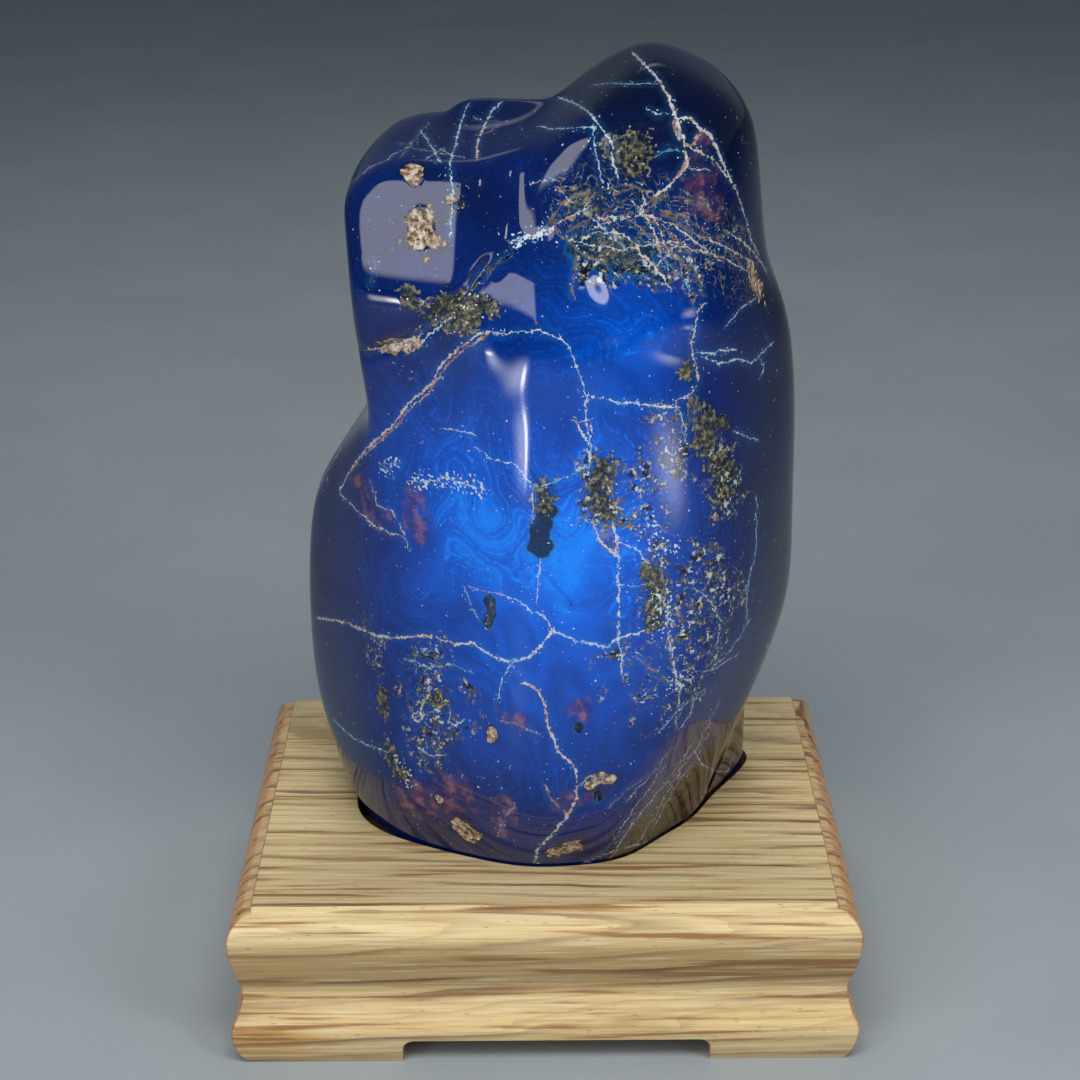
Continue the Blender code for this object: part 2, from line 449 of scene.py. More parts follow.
SHOULDER = Lobe((2.0, -14.0, 152.0), 0.5, (
    (-30, 2, 29.5), (-19, 21, 34), (14, 6, 31), (55, 10, 28), (10, 58, 27.5), (-60, 29, 31.8),
    (60, 50, 28.2), (0, -24, 34), (60, -20, 27), (-90, 0, 28), (180, 0, 26.8), (0, -90, 22)))
PEAK = Lobe((24.0, 0.0, 160.0), 0.42, (
    (-6, 7, 38.5), (-55, 8, 44), (36, 8, 40), (66, 3, 35.9), (90, 2, 37.9), (-90, 2, 42),
    (90, 22, 46.7), (88, 48, 52.6), (80, 72, 55.7), (-88, 52, 42.2), (-86, 70, 57.3), (0, 50, 54),
    (0, -60, 30), (90, -40, 44), (176, 12, 35.7), (140, 10, 40), (-140, 12, 37.8), (178, 44, 51.4),
    (112, 6, 40.8), (-110, 8, 39.9), (150, 62, 57.1), (180, -60, 59.9)))
LEFT_LOBE = Lobe((-22.0, -1.0, 162.0), 0.55, (
    (-15, 14, 38.4), (40, 8, 34.5), (-60, 4, 42.1), (-92, -7, 26.2), (-92, 28, 36.8),
    (-90, 52, 35.8), (-88, 74, 38.3), (0, 86, 33), (84, -14, 30), (-16, -20, 39.1), (-80, -34, 55),
    (-12, 50, 45.5), (40, -30, 46), (180, 12, 33.3), (-140, 10, 34.1), (-112, 4, 28.5),
    (150, 10, 35.8), (180, 44, 41), (-150, 64, 44.1), (180, -40, 53.9), (-130, -34, 54),
    (0, -90, 50)))


@dataclass(frozen=True)
class StoneForm:
    """The stone's ground facets, blended lobe by lobe and then together."""

    top_face: float
    lobes: tuple[Lobe, ...] = (BELLY, TOE, SHOULDER, PEAK, LEFT_LOBE)
    blend: float = 0.5
    heart: tuple[float, float, float] = (0.0, 0.0, 92.0)
    farthest: float = 170.0
    halvings: int = 23

    def swell(self, points: np.ndarray) -> np.ndarray:
        """Slow waves of a hand-ground surface."""
        x, y, z = points.T
        first = 0.7 * np.sin(x / 15.0 + 0.6) * np.sin(z / 21.0 + 1.9)
        return first + 0.6 * np.sin(y / 13.0 + 2.0 + x / 31.0) * np.sin(z / 17.0 + 0.4)

    def depth(self, points: np.ndarray) -> np.ndarray:
        """How far points lie outside the stone, negative inside."""
        depths = np.stack([lobe.depth(points) for lobe in self.lobes], 1)
        low = depths.min(1)
        joined = np.log(np.exp(-self.blend * (depths - low[:, None])).sum(1)) / self.blend
        return low - joined + self.swell(points)

    def reach(self, starts: np.ndarray, ways: np.ndarray) -> np.ndarray:
        """How far each way leads from its start to the surface."""
        near, far = np.zeros(len(ways)), np.full(len(ways), self.farthest)
        for _ in range(self.halvings):
            mid = 0.5 * (near + far)
            inside = self.depth(starts + ways * mid[:, None]) < 0
            near, far = np.where(inside, mid, near), np.where(inside, far, mid)
        return near

    def skin(self, counts: tuple[int, int, int], shape: tuple[float, float, float]) -> tuple:
        """Draw a divided cube out onto the surface.

        Args:
            counts: Divisions along X, Y and Z.
            shape: Proportions of the cube, which spread the divisions.

        Returns:
            Points in the model's frame, and quads.
        """
        lattice, quads = box_lattice(counts)
        ways = np.tan(lattice * math.pi / 4) * np.array(shape)
        ways /= np.linalg.norm(ways, axis=1, keepdims=True)
        heart = np.array(self.heart)
        points = heart + ways * self.reach(np.tile(heart, (len(ways), 1)), ways)[:, None]
        return points + np.array((0.0, 0.0, self.top_face)), quads

    def rim(self, steps: int, depths: tuple[float, ...]) -> np.ndarray:
        """Widest reach from the stand's middle at some depths below its top face.

        Args:
            steps: Number of directions round the stone.
            depths: Depths below the top face.

        Returns:
            The reach in each direction.
        """
        angles = np.radians(np.arange(steps) * 360.0 / steps)
        ways = np.stack((np.sin(angles), -np.cos(angles), 0 * angles), 1)
        starts = [np.tile((0.0, 0.0, -depth), (steps, 1)) for depth in depths]
        return np.max([self.reach(start, ways) for start in starts], axis=0)


# Markings of the stone


class Tone(Enum):
    """Filling of a vein, as a place on the filling's colour ramp."""

    CRACK = 0.0
    OLIVE = 0.2
    RUST = 0.4
    CREAM = 0.6
    FROST = 0.8
    TEAL = 1.0


class Seen(Enum):
    """How a marking's points are given: photo pixels, or azimuth from the front and height."""

    PHOTO = "photo"
    ROUND = "round"


class Mark(Enum):
    """Kinds of patch, each with its attribute and channel."""

    OLIVE = ("patch_a", 0)
    BEIGE = ("patch_a", 1)
    PURPLE = ("patch_a", 2)
    DARK = ("patch_a", 3)
    SPECKLE = ("patch_b", 0)
    NEST = ("patch_b", 1)
    SMOKE = ("patch_b", 2)
    WHITE = ("patch_b", 3)


@dataclass(frozen=True)
class Vein:
    """A filled crack: its filling, half its width and the points it runs through."""

    tone: Tone
    half: float
    path: Pixels
    seen: Seen = Seen.PHOTO


@dataclass(frozen=True)
class Patch:
    """A stained, crusted or sunken place along a path."""

    mark: Mark
    radius: float
    path: Pixels
    sunk: float = 0.0
    grains: float = 0.0
    seen: Seen = Seen.PHOTO


@dataclass(frozen=True)
class Groove:
    """A crease between two lobes, or a natural channel."""

    depth: float
    half: float
    path: Pixels


PEAK_VEINS = (
    Vein(Tone.CREAM, 0.42, ((621, 50), (633, 53), (645, 65), (656, 76), (663, 87), (670, 101), (673, 114),
                            (681, 130), (685, 146), (688, 166), (681, 173), (672, 182), (665, 192),
                            (654, 196))),
    Vein(Tone.CREAM, 0.45, ((679, 119), (692, 119), (701, 130), (711, 135), (717, 148), (722, 160),
                            (729, 178), (736, 189), (742, 207), (747, 223), (752, 241), (758, 253))),
    Vein(Tone.CREAM, 0.34, ((686, 145), (697, 151), (710, 157), (719, 166), (726, 175))),
    Vein(Tone.RUST, 0.30, ((701, 132), (695, 144), (686, 145))),
    Vein(Tone.CREAM, 0.20, ((688, 167), (698, 170), (708, 169))),
    Vein(Tone.RUST, 0.34, ((676, 112), (673, 124), (677, 138))),
    Vein(Tone.RUST, 0.40, ((688, 160), (682, 168), (679, 174))),
    Vein(Tone.FROST, 0.34, ((558, 96), (570, 100), (583, 107), (594, 117), (602, 130), (611, 141),
                            (613, 159), (616, 182))),
    Vein(Tone.FROST, 0.22, ((540, 126), (552, 129), (575, 128), (592, 127))),
    Vein(Tone.FROST, 0.20, ((594, 126), (594, 144), (599, 166), (602, 185))),
    Vein(Tone.FROST, 0.24, ((533, 183), (545, 181), (560, 180), (572, 176), (583, 172))),
    Vein(Tone.FROST, 0.14, ((592, 85), (612, 83), (630, 84), (656, 83))),
    Vein(Tone.FROST, 0.16, ((650, 110), (657, 116), (664, 113))),
    Vein(Tone.TEAL, 0.20, ((660, 155), (668, 147), (678, 150))),
)
NEST_VEINS = (
    Vein(Tone.OLIVE, 0.38, ((547, 228), (552, 216), (567, 201), (585, 196), (606, 191), (615, 187),
                            (629, 184), (642, 192), (654, 200), (665, 194))),
    Vein(Tone.CREAM, 0.24, ((549, 232), (560, 222), (574, 215), (590, 205), (604, 199), (618, 196))),
    Vein(Tone.OLIVE, 0.34, ((567, 232), (581, 223), (599, 214), (617, 209), (633, 210), (651, 209),
                            (665, 216), (681, 225), (697, 235), (711, 239), (729, 234), (738, 226),
                            (745, 228))),
    Vein(Tone.CREAM, 0.28, ((583, 239), (599, 232), (622, 234), (633, 242), (645, 257), (656, 269),
                            (669, 287))),
    Vein(Tone.OLIVE, 0.30, ((617, 212), (629, 221), (642, 228), (656, 241), (672, 251), (683, 262),
                            (695, 273), (701, 284), (702, 294))),
    Vein(Tone.OLIVE, 0.30, ((552, 222), (568, 241), (585, 255), (608, 264), (625, 262), (640, 260))),
    Vein(Tone.CREAM, 0.22, ((645, 201), (651, 214), (661, 232), (665, 244))),
    Vein(Tone.OLIVE, 0.26, ((669, 196), (681, 196), (692, 205), (706, 203))),
    Vein(Tone.CREAM, 0.26, ((701, 237), (719, 244), (733, 251), (749, 260))),
    Vein(Tone.CREAM, 0.34, ((727, 232), (742, 241), (754, 253), (761, 262), (766, 272))),
    Vein(Tone.OLIVE, 0.36, ((576, 257), (575, 272), (572, 286), (573, 294))),
    Vein(Tone.CREAM, 0.22, ((560, 190), (575, 205), (596, 222), (612, 240))),
    Vein(Tone.OLIVE, 0.26, ((590, 192), (610, 203), (640, 214), (668, 233), (690, 252))),
    Vein(Tone.CREAM, 0.20, ((612, 188), (630, 199), (649, 222), (660, 247))),
    Vein(Tone.TEAL, 0.22, ((570, 205), (590, 215), (606, 229), (630, 252))),
    Vein(Tone.CREAM, 0.20, ((598, 226), (620, 219), (646, 215), (672, 224), (700, 245), (722, 262))),
    Vein(Tone.OLIVE, 0.28, ((640, 190), (666, 205), (692, 222), (718, 240), (744, 268))),
    Vein(Tone.CREAM, 0.20, ((660, 262), (676, 246), (700, 250), (724, 258), (748, 272))),
    Vein(Tone.TEAL, 0.20, ((648, 236), (662, 258), (680, 274), (690, 290))),
    Vein(Tone.FROST, 0.20, ((520, 240), (536, 236), (547, 230))),
    Vein(Tone.CREAM, 0.18, ((560, 236), (590, 246), (618, 250), (650, 244), (690, 240))),
)
UPPER_RIGHT_VEINS = (
    Vein(Tone.FROST, 0.20, ((560, 336), (570, 348), (577, 366), (582, 383), (587, 396))),
    Vein(Tone.FROST, 0.34, ((587, 396), (601, 398), (618, 403), (635, 403), (653, 406), (676, 407))),
    Vein(Tone.CREAM, 0.26, ((676, 407), (676, 401), (691, 394), (698, 384), (696, 368), (693, 353),
                            (691, 340), (696, 322), (703, 305))),
    Vein(Tone.FROST, 0.26, ((700, 352), (712, 354), (722, 350), (734, 350))),
    Vein(Tone.FROST, 0.28, ((706, 358), (720, 364), (736, 359), (752, 363), (759, 356), (772, 343))),
    Vein(Tone.CREAM, 0.18, ((727, 325), (741, 308), (757, 297))),
    Vein(Tone.FROST, 0.20, ((759, 356), (764, 368), (761, 376))),
    Vein(Tone.FROST, 0.18, ((680, 413), (684, 424), (686, 438))),
    Vein(Tone.FROST, 0.20, ((587, 396), (585, 414), (590, 436), (591, 464))),
    Vein(Tone.CREAM, 0.30, ((576, 421), (582, 432), (588, 444), (590, 464))),
    Vein(Tone.CREAM, 0.26, ((576, 421), (589, 419), (592, 430))),
    Vein(Tone.OLIVE, 0.26, ((691, 394), (694, 408), (690, 420))),
    Vein(Tone.FROST, 0.16, ((735, 432), (745, 436), (757, 440))),
)
RIGHT_VEINS = (
    Vein(Tone.CREAM, 0.30, ((594, 525), (600, 541), (616, 557), (618, 543), (613, 526))),
    Vein(Tone.FROST, 0.32, ((613, 526), (618, 550), (618, 575), (618, 599), (619, 623), (618, 638))),
    Vein(Tone.FROST, 0.22, ((618, 638), (621, 654), (622, 674))),
    Vein(Tone.FROST, 0.16, ((620, 585), (632, 586), (641, 585))),
    Vein(Tone.FROST, 0.22, ((620, 543), (633, 548), (641, 553), (648, 563))),
    Vein(Tone.FROST, 0.36, ((552, 631), (560, 633), (573, 641), (593, 644), (608, 647), (618, 638),
                            (631, 634), (640, 633))),
    Vein(Tone.FROST, 0.22, ((756, 500), (757, 525), (756, 550), (750, 575), (747, 600), (748, 622))),
    Vein(Tone.CREAM, 0.24, ((748, 622), (738, 640), (726, 655), (712, 668))),
    Vein(Tone.CREAM, 0.22, ((737, 655), (716, 668), (704, 672))),
    Vein(Tone.CREAM, 0.26, ((669, 640), (674, 665), (679, 690), (676, 724))),
    Vein(Tone.CREAM, 0.22, ((696, 590), (712, 602), (722, 622), (716, 645))),
    Vein(Tone.OLIVE, 0.26, ((640, 660), (655, 672), (670, 684), (684, 680))),
    Vein(Tone.CREAM, 0.20, ((664, 600), (668, 620), (666, 645))),
    Vein(Tone.CREAM, 0.22, ((694, 700), (690, 716), (680, 728))),
    Vein(Tone.CREAM, 0.18, ((694, 751), (703, 765), (717, 772), (728, 771), (734, 756))),
)
LEFT_LOBE_VEINS = (
    Vein(Tone.CREAM, 0.20, ((353, 181), (365, 172), (377, 164), (387, 160), (397, 153), (410, 146))),
    Vein(Tone.OLIVE, 0.26, ((402, 156), (410, 146), (422, 130), (428, 124))),
    Vein(Tone.OLIVE, 0.24, ((398, 143), (410, 147), (421, 150))),
    Vein(Tone.OLIVE, 0.22, ((425, 134), (434, 150), (449, 155))),
    Vein(Tone.FROST, 0.20, ((421, 131), (434, 150), (440, 162))),
    Vein(Tone.FROST, 0.20, ((428, 158), (441, 149), (452, 155))),
    Vein(Tone.FROST, 0.24, ((468, 105), (463, 117), (459, 130), (455, 146), (450, 163), (452, 184),
                            (452, 196), (451, 218), (450, 236))),
    Vein(Tone.CREAM, 0.30, ((500, 103), (491, 112), (483, 129), (478, 141), (477, 158))),
    Vein(Tone.OLIVE, 0.24, ((476, 118), (484, 122), (496, 121))),
    Vein(Tone.OLIVE, 0.22, ((479, 134), (490, 132), (497, 126))),
    Vein(Tone.CRACK, 0.45, ((509, 253), (500, 258), (492, 267), (483, 277), (472, 290), (466, 300))),
    Vein(Tone.CRACK, 0.34, ((436, 322), (423, 330), (400, 340), (380, 349), (364, 354))),
    Vein(Tone.CREAM, 0.34, ((418, 338), (409, 348), (393, 346), (380, 351), (364, 352))),
    Vein(Tone.CREAM, 0.24, ((446, 322), (428, 336), (412, 352), (398, 345))),
    Vein(Tone.FROST, 0.30, ((514, 240), (524, 236), (534, 235), (543, 231))),
    Vein(Tone.CRACK, 0.28, ((374, 262), (372, 272), (371, 284))),
    Vein(Tone.CREAM, 0.18, ((420, 150), (452, 155), (462, 157))),
)
LEFT_VEINS = (
    Vein(Tone.FROST, 0.18, ((560, 340), (540, 330), (522, 331), (499, 334))),
    Vein(Tone.CREAM, 0.36, ((499, 334), (482, 332), (466, 343), (449, 356), (438, 370), (433, 383),
                            (419, 395), (406, 406), (396, 421), (383, 434), (366, 449), (355, 463),
                            (348, 474), (340, 491))),
    Vein(Tone.RUST, 0.30, ((485, 336), (460, 352), (445, 368), (430, 392), (412, 406), (398, 424),
                           (380, 441), (360, 458), (352, 470))),
    Vein(Tone.CREAM, 0.26, ((340, 491), (343, 497), (363, 516), (375, 526), (390, 533), (403, 537))),
    Vein(Tone.CREAM, 0.18, ((371, 483), (378, 505), (393, 511), (401, 529), (408, 547))),
    Vein(Tone.FROST, 0.22, ((440, 478), (452, 480), (466, 484), (482, 489))),
    Vein(Tone.FROST, 0.24, ((412, 481), (424, 482), (436, 481))),
    Vein(Tone.FROST, 0.16, ((477, 449), (492, 459), (503, 462), (514, 463), (524, 476), (532, 483))),
    Vein(Tone.FROST, 0.20, ((444, 429), (458, 431), (472, 434))),
    Vein(Tone.TEAL, 0.16, ((398, 463), (381, 464), (393, 476))),
    Vein(Tone.TEAL, 0.24, ((533, 486), (552, 483), (574, 474), (588, 464))),
    Vein(Tone.CREAM, 0.22, ((531, 489), (534, 508), (531, 524))),
)
MAIN_VEINS = (
    Vein(Tone.CREAM, 0.40, ((307, 614), (318, 618), (333, 620), (348, 623), (360, 629), (375, 635),
                            (393, 638), (414, 636), (433, 637), (456, 644))),
    Vein(Tone.FROST, 0.42, ((456, 644), (474, 643), (484, 651), (497, 658), (512, 662), (527, 658),
                            (537, 650), (545, 641), (552, 631))),
    Vein(Tone.FROST, 0.22, ((552, 631), (545, 616), (532, 613), (522, 603), (504, 595))),
    Vein(Tone.CREAM, 0.18, ((504, 595), (488, 592), (471, 587))),
    Vein(Tone.FROST, 0.18, ((512, 662), (502, 678), (498, 699))),
    Vein(Tone.CREAM, 0.34, ((524, 683), (539, 691), (545, 706), (549, 729), (559, 752), (573, 765),
                            (577, 778))),
    Vein(Tone.CRACK, 0.50, ((489, 595), (492, 604), (491, 613), (487, 628))),
    Vein(Tone.FROST, 0.18, ((333, 719), (345, 731), (355, 739), (370, 746), (388, 752))),
    Vein(Tone.CREAM, 0.44, ((576, 790), (576, 801), (567, 817), (551, 836), (541, 846), (537, 851),
                            (535, 861))),
    Vein(Tone.CREAM, 0.22, ((580, 785), (588, 776), (604, 779))),
    Vein(Tone.RUST, 0.30, ((546, 788), (552, 800), (566, 813))),
    Vein(Tone.RUST, 0.20, ((501, 721), (516, 724), (537, 734))),
    Vein(Tone.RUST, 0.22, ((514, 806), (506, 816), (498, 836))),
    Vein(Tone.FROST, 0.16, ((540, 563), (538, 580), (537, 600))),
    Vein(Tone.FROST, 0.15, ((465, 590), (470, 604), (478, 618))),
    Vein(Tone.TEAL, 0.20, ((408, 660), (430, 668), (452, 664), (470, 672))),
    Vein(Tone.CRACK, 0.40, ((424, 655), (436, 660), (447, 668))),
    Vein(Tone.CRACK, 0.30, ((404, 668), (416, 664), (424, 672))),
    Vein(Tone.CREAM, 0.20, ((430, 690), (424, 702), (418, 716), (432, 712), (444, 704))),
    Vein(Tone.CREAM, 0.26, ((412, 716), (418, 722), (424, 716), (418, 711), (412, 716))),
    Vein(Tone.FROST, 0.20, ((450, 712), (448, 722), (456, 726), (463, 720))),
    Vein(Tone.FROST, 0.18, ((420, 748), (430, 756), (442, 755))),
)
SMOKE_VEINS = (
    Vein(Tone.CREAM, 0.18, ((612, 856), (634, 822), (655, 796), (676, 770), (694, 742))),
    Vein(Tone.CREAM, 0.15, ((640, 840), (656, 816), (668, 790), (684, 764), (706, 738))),
    Vein(Tone.CREAM, 0.14, ((628, 800), (640, 786), (656, 770), (668, 752))),
    Vein(Tone.CREAM, 0.15, ((620, 830), (636, 806), (654, 782), (664, 768))),
    Vein(Tone.OLIVE, 0.20, ((610, 806), (626, 790), (646, 778), (660, 760), (674, 748))),
    Vein(Tone.CREAM, 0.13, ((652, 832), (664, 808), (676, 786), (690, 768))),
    Vein(Tone.CREAM, 0.22, ((586, 862), (600, 856), (616, 850), (632, 846), (646, 842))),
    Vein(Tone.FROST, 0.15, ((664, 726), (676, 712), (690, 700), (704, 690))),
    Vein(Tone.CREAM, 0.16, ((660, 790), (674, 776), (690, 756), (702, 738), (712, 716), (720, 700))),
)
BACK_VEINS = (
    Vein(Tone.CREAM, 0.40, ((118, 70), (132, 84), (150, 92), (168, 108), (190, 112), (212, 122),
                            (236, 118), (258, 128)), Seen.ROUND),
    Vein(Tone.FROST, 0.30, ((168, 108), (172, 132), (180, 152), (176, 176), (186, 200)), Seen.ROUND),
    Vein(Tone.CREAM, 0.34, ((100, 180), (118, 172), (136, 178), (158, 170), (176, 176)), Seen.ROUND),
    Vein(Tone.OLIVE, 0.36, ((212, 122), (220, 146), (214, 170), (226, 190), (222, 208)), Seen.ROUND),
    Vein(Tone.CREAM, 0.28, ((236, 118), (240, 96), (232, 76), (242, 58)), Seen.ROUND),
    Vein(Tone.FROST, 0.24, ((132, 84), (128, 106), (136, 128), (130, 150)), Seen.ROUND),
    Vein(Tone.RUST, 0.30, ((190, 112), (196, 90), (188, 72), (198, 56)), Seen.ROUND),
    Vein(Tone.CREAM, 0.24, ((258, 128), (266, 150), (262, 176), (272, 200)), Seen.ROUND),
    Vein(Tone.FROST, 0.22, ((96, 120), (104, 142), (98, 166), (108, 196)), Seen.ROUND),
    Vein(Tone.CREAM, 0.24, ((82, 96), (94, 90), (104, 76), (118, 70)), Seen.ROUND),
    Vein(Tone.CRACK, 0.34, ((150, 200), (162, 192), (176, 196), (190, 190)), Seen.ROUND),
)
VEINS = (PEAK_VEINS + NEST_VEINS + UPPER_RIGHT_VEINS + RIGHT_VEINS + LEFT_LOBE_VEINS + LEFT_VEINS
         + MAIN_VEINS + SMOKE_VEINS + BACK_VEINS)

PATCHES = (
    Patch(Mark.BEIGE, 2.3, ((411, 168), (415, 176)), 0.7, 0.5),
    Patch(Mark.BEIGE, 4.0, ((421, 224), (422, 238)), 0.9, 1.0),
    Patch(Mark.BEIGE, 1.8, ((452, 203), (458, 203)), 0.5, 0.3),
    Patch(Mark.OLIVE, 2.2, ((408, 294), (412, 304)), 0.5, 0.5),
    Patch(Mark.OLIVE, 3.6, ((438, 314), (452, 308), (464, 305)), 0.7, 1.0),
    Patch(Mark.OLIVE, 2.8, ((450, 322), (462, 324), (470, 318)), 0.6, 0.9),
    Patch(Mark.OLIVE, 2.6, ((476, 305), (487, 308)), 0.5, 0.8),
    Patch(Mark.BEIGE, 2.0, ((383, 349), (398, 347), (414, 344)), 0.4, 0.6),
    Patch(Mark.OLIVE, 3.6, ((618, 150), (634, 158)), 0.0, 0.3),
    Patch(Mark.OLIVE, 3.2, ((632, 146), (640, 150))),
    Patch(Mark.OLIVE, 3.0, ((579, 205), (590, 201))),
    Patch(Mark.OLIVE, 3.2, ((706, 420), (704, 442))),
    Patch(Mark.OLIVE, 1.9, ((720, 422), (724, 424))),
    Patch(Mark.OLIVE, 2.0, ((690, 368), (687, 372))),
    Patch(Mark.OLIVE, 1.8, ((694, 403), (694, 408))),
    Patch(Mark.OLIVE, 3.4, ((604, 470), (598, 496), (606, 512))),
    Patch(Mark.OLIVE, 3.2, ((716, 462), (728, 474), (722, 494))),
    Patch(Mark.OLIVE, 2.6, ((543, 490), (545, 504))),
    Patch(Mark.DARK, 3.0, ((545, 512), (543, 530), (539, 548))),
    Patch(Mark.BEIGE, 3.2, ((752, 270), (756, 284), (760, 290)), 0.4, 0.7),
    Patch(Mark.PURPLE, 3.2, ((704, 143), (700, 146))),
    Patch(Mark.PURPLE, 5.5, ((700, 186), (712, 200))),
    Patch(Mark.PURPLE, 2.2, ((674, 276), (678, 279))),
    Patch(Mark.PURPLE, 2.6, ((608, 538), (610, 546))),
    Patch(Mark.PURPLE, 4.6, ((356, 486), (366, 502), (380, 518))),
    Patch(Mark.PURPLE, 4.5, ((413, 500), (420, 526))),
    Patch(Mark.PURPLE, 6.5, ((412, 804), (440, 808), (452, 796))),
    Patch(Mark.PURPLE, 3.4, ((506, 806), (500, 830))),
    Patch(Mark.PURPLE, 2.6, ((582, 706), (584, 714))),
    Patch(Mark.PURPLE, 2.8, ((505, 716), (522, 724))),
    Patch(Mark.PURPLE, 2.6, ((600, 790), (560, 806))),
    Patch(Mark.DARK, 1.5, ((599, 795), (599, 797)), 1.6),
    Patch(Mark.DARK, 1.4, ((578, 727), (579, 729)), 0.5),
    Patch(Mark.DARK, 1.6, ((489, 600), (492, 612), (488, 624))),
    Patch(Mark.DARK, 4.0, ((584, 250), (612, 256), (640, 260))),
    Patch(Mark.OLIVE, 3.0, ((610, 246), (624, 252))),
    Patch(Mark.OLIVE, 2.2, ((383, 695), (383, 708))),
    Patch(Mark.OLIVE, 2.2, ((432, 698), (442, 704)), 0.3, 0.3),
    Patch(Mark.BEIGE, 1.5, ((492, 732), (492, 738)), 0.3, 0.3),
    Patch(Mark.OLIVE, 2.0, ((398, 771), (404, 775)), 0.3, 0.4),
    Patch(Mark.BEIGE, 1.3, ((438, 798), (439, 801)), 0.3, 0.3),
    Patch(Mark.OLIVE, 2.4, ((388, 752), (392, 758))),
    Patch(Mark.BEIGE, 3.0, ((460, 826), (470, 836)), 0.4, 0.7),
    Patch(Mark.BEIGE, 2.2, ((556, 852), (574, 846))),
    Patch(Mark.OLIVE, 2.6, ((650, 572), (658, 596), (654, 622))),
    Patch(Mark.WHITE, 4.0, ((662, 600), (658, 626))),
    Patch(Mark.BEIGE, 1.8, ((590, 785), (600, 778), (608, 780))),
    Patch(Mark.SPECKLE, 12.0, ((690, 590), (700, 620), (690, 650), (664, 666))),
    Patch(Mark.SPECKLE, 8.0, ((728, 600), (722, 580), (700, 572))),
    Patch(Mark.SPECKLE, 7.0, ((724, 462), (726, 500))),
    Patch(Mark.SPECKLE, 6.5, ((660, 440), (646, 500), (650, 550))),
    Patch(Mark.SPECKLE, 5.5, ((596, 478), (602, 510))),
    Patch(Mark.SPECKLE, 9.0, ((430, 672), (444, 712), (428, 740))),
    Patch(Mark.SPECKLE, 5.0, ((372, 640), (378, 664))),
    Patch(Mark.SPECKLE, 6.0, ((640, 262), (680, 276), (600, 270))),
    Patch(Mark.SPECKLE, 7.0, ((700, 680), (668, 700))),
    Patch(Mark.WHITE, 2.2, ((396, 462), (384, 470))),
    Patch(Mark.WHITE, 3.2, ((416, 482), (432, 481))),
    Patch(Mark.WHITE, 3.4, ((448, 482), (466, 484), (482, 489))),
    Patch(Mark.WHITE, 2.6, ((518, 240), (540, 232))),
    Patch(Mark.WHITE, 4.0, ((650, 532), (662, 545), (672, 548))),
    Patch(Mark.WHITE, 3.6, ((676, 680), (688, 676))),
    Patch(Mark.WHITE, 3.0, ((408, 780), (398, 760))),
    Patch(Mark.NEST, 9.0, ((590, 206), (630, 214), (672, 226), (712, 244), (744, 262))),
    Patch(Mark.NEST, 7.0, ((606, 238), (650, 250), (700, 262))),
    Patch(Mark.SMOKE, 9.0, ((626, 856), (656, 822), (688, 790), (716, 762), (738, 728))),
    Patch(Mark.SMOKE, 11.0, ((680, 836), (716, 800), (744, 764))),
    Patch(Mark.NEST, 6.5, ((632, 830), (656, 800), (682, 772))),
    Patch(Mark.OLIVE, 3.4, ((150, 178), (158, 182)), 0.5, 0.6, Seen.ROUND),
    Patch(Mark.BEIGE, 3.6, ((214, 148), (220, 142)), 0.6, 0.8, Seen.ROUND),
    Patch(Mark.BEIGE, 3.0, ((236, 84), (240, 80)), 0.5, 0.7, Seen.ROUND),
    Patch(Mark.OLIVE, 3.6, ((128, 96), (134, 104)), 0.5, 0.6, Seen.ROUND),
    Patch(Mark.SPECKLE, 13.0, ((150, 130), (172, 118), (200, 140)), 0.0, 0.0, Seen.ROUND),
    Patch(Mark.SPECKLE, 9.0, ((240, 170), (262, 160)), 0.0, 0.0, Seen.ROUND),
    Patch(Mark.NEST, 8.0, ((190, 190), (214, 182), (234, 190)), 0.0, 0.0, Seen.ROUND),
    Patch(Mark.PURPLE, 7.0, ((200, 80), (222, 90)), 0.0, 0.0, Seen.ROUND),
    Patch(Mark.SMOKE, 10.0, ((120, 62), (146, 60)), 0.0, 0.0, Seen.ROUND),
)
GROOVES = (
    Groove(1.5, 2.6, ((513, 250), (500, 258), (490, 268), (478, 283), (466, 300), (450, 314),
                      (430, 327), (404, 340), (384, 350), (364, 356))),
    Groove(0.6, 1.6, ((556, 96), (575, 102), (592, 115), (602, 130))),
    Groove(0.5, 1.2, ((545, 232), (530, 236), (514, 246))),
)


@dataclass(frozen=True)
class SlowNoise:
    """Noise that changes slowly enough to be stored at a mesh's points."""

    scale: float
    octaves: int = 1
    offset: float = 0.0

    def at(self, points: np.ndarray) -> np.ndarray:
        """Values about a half at points in millimetres."""
        total, loudest = np.zeros(len(points)), 0.0
        for octave in range(self.octaves):
            spots = (points + self.offset) * self.scale * 2.0 ** octave
            total += np.array([noise.noise(spot) for spot in spots.tolist()]) * 0.5 ** octave
            loudest += 0.5 ** octave
        return 0.5 + 0.5 * total / loudest

    def drift(self, points: np.ndarray) -> np.ndarray:
        """Vectors up to a half long at points in millimetres."""
        spots = (points + self.offset) * self.scale
        return np.array([noise.noise_vector(spot)[:] for spot in spots.tolist()]) * 0.5


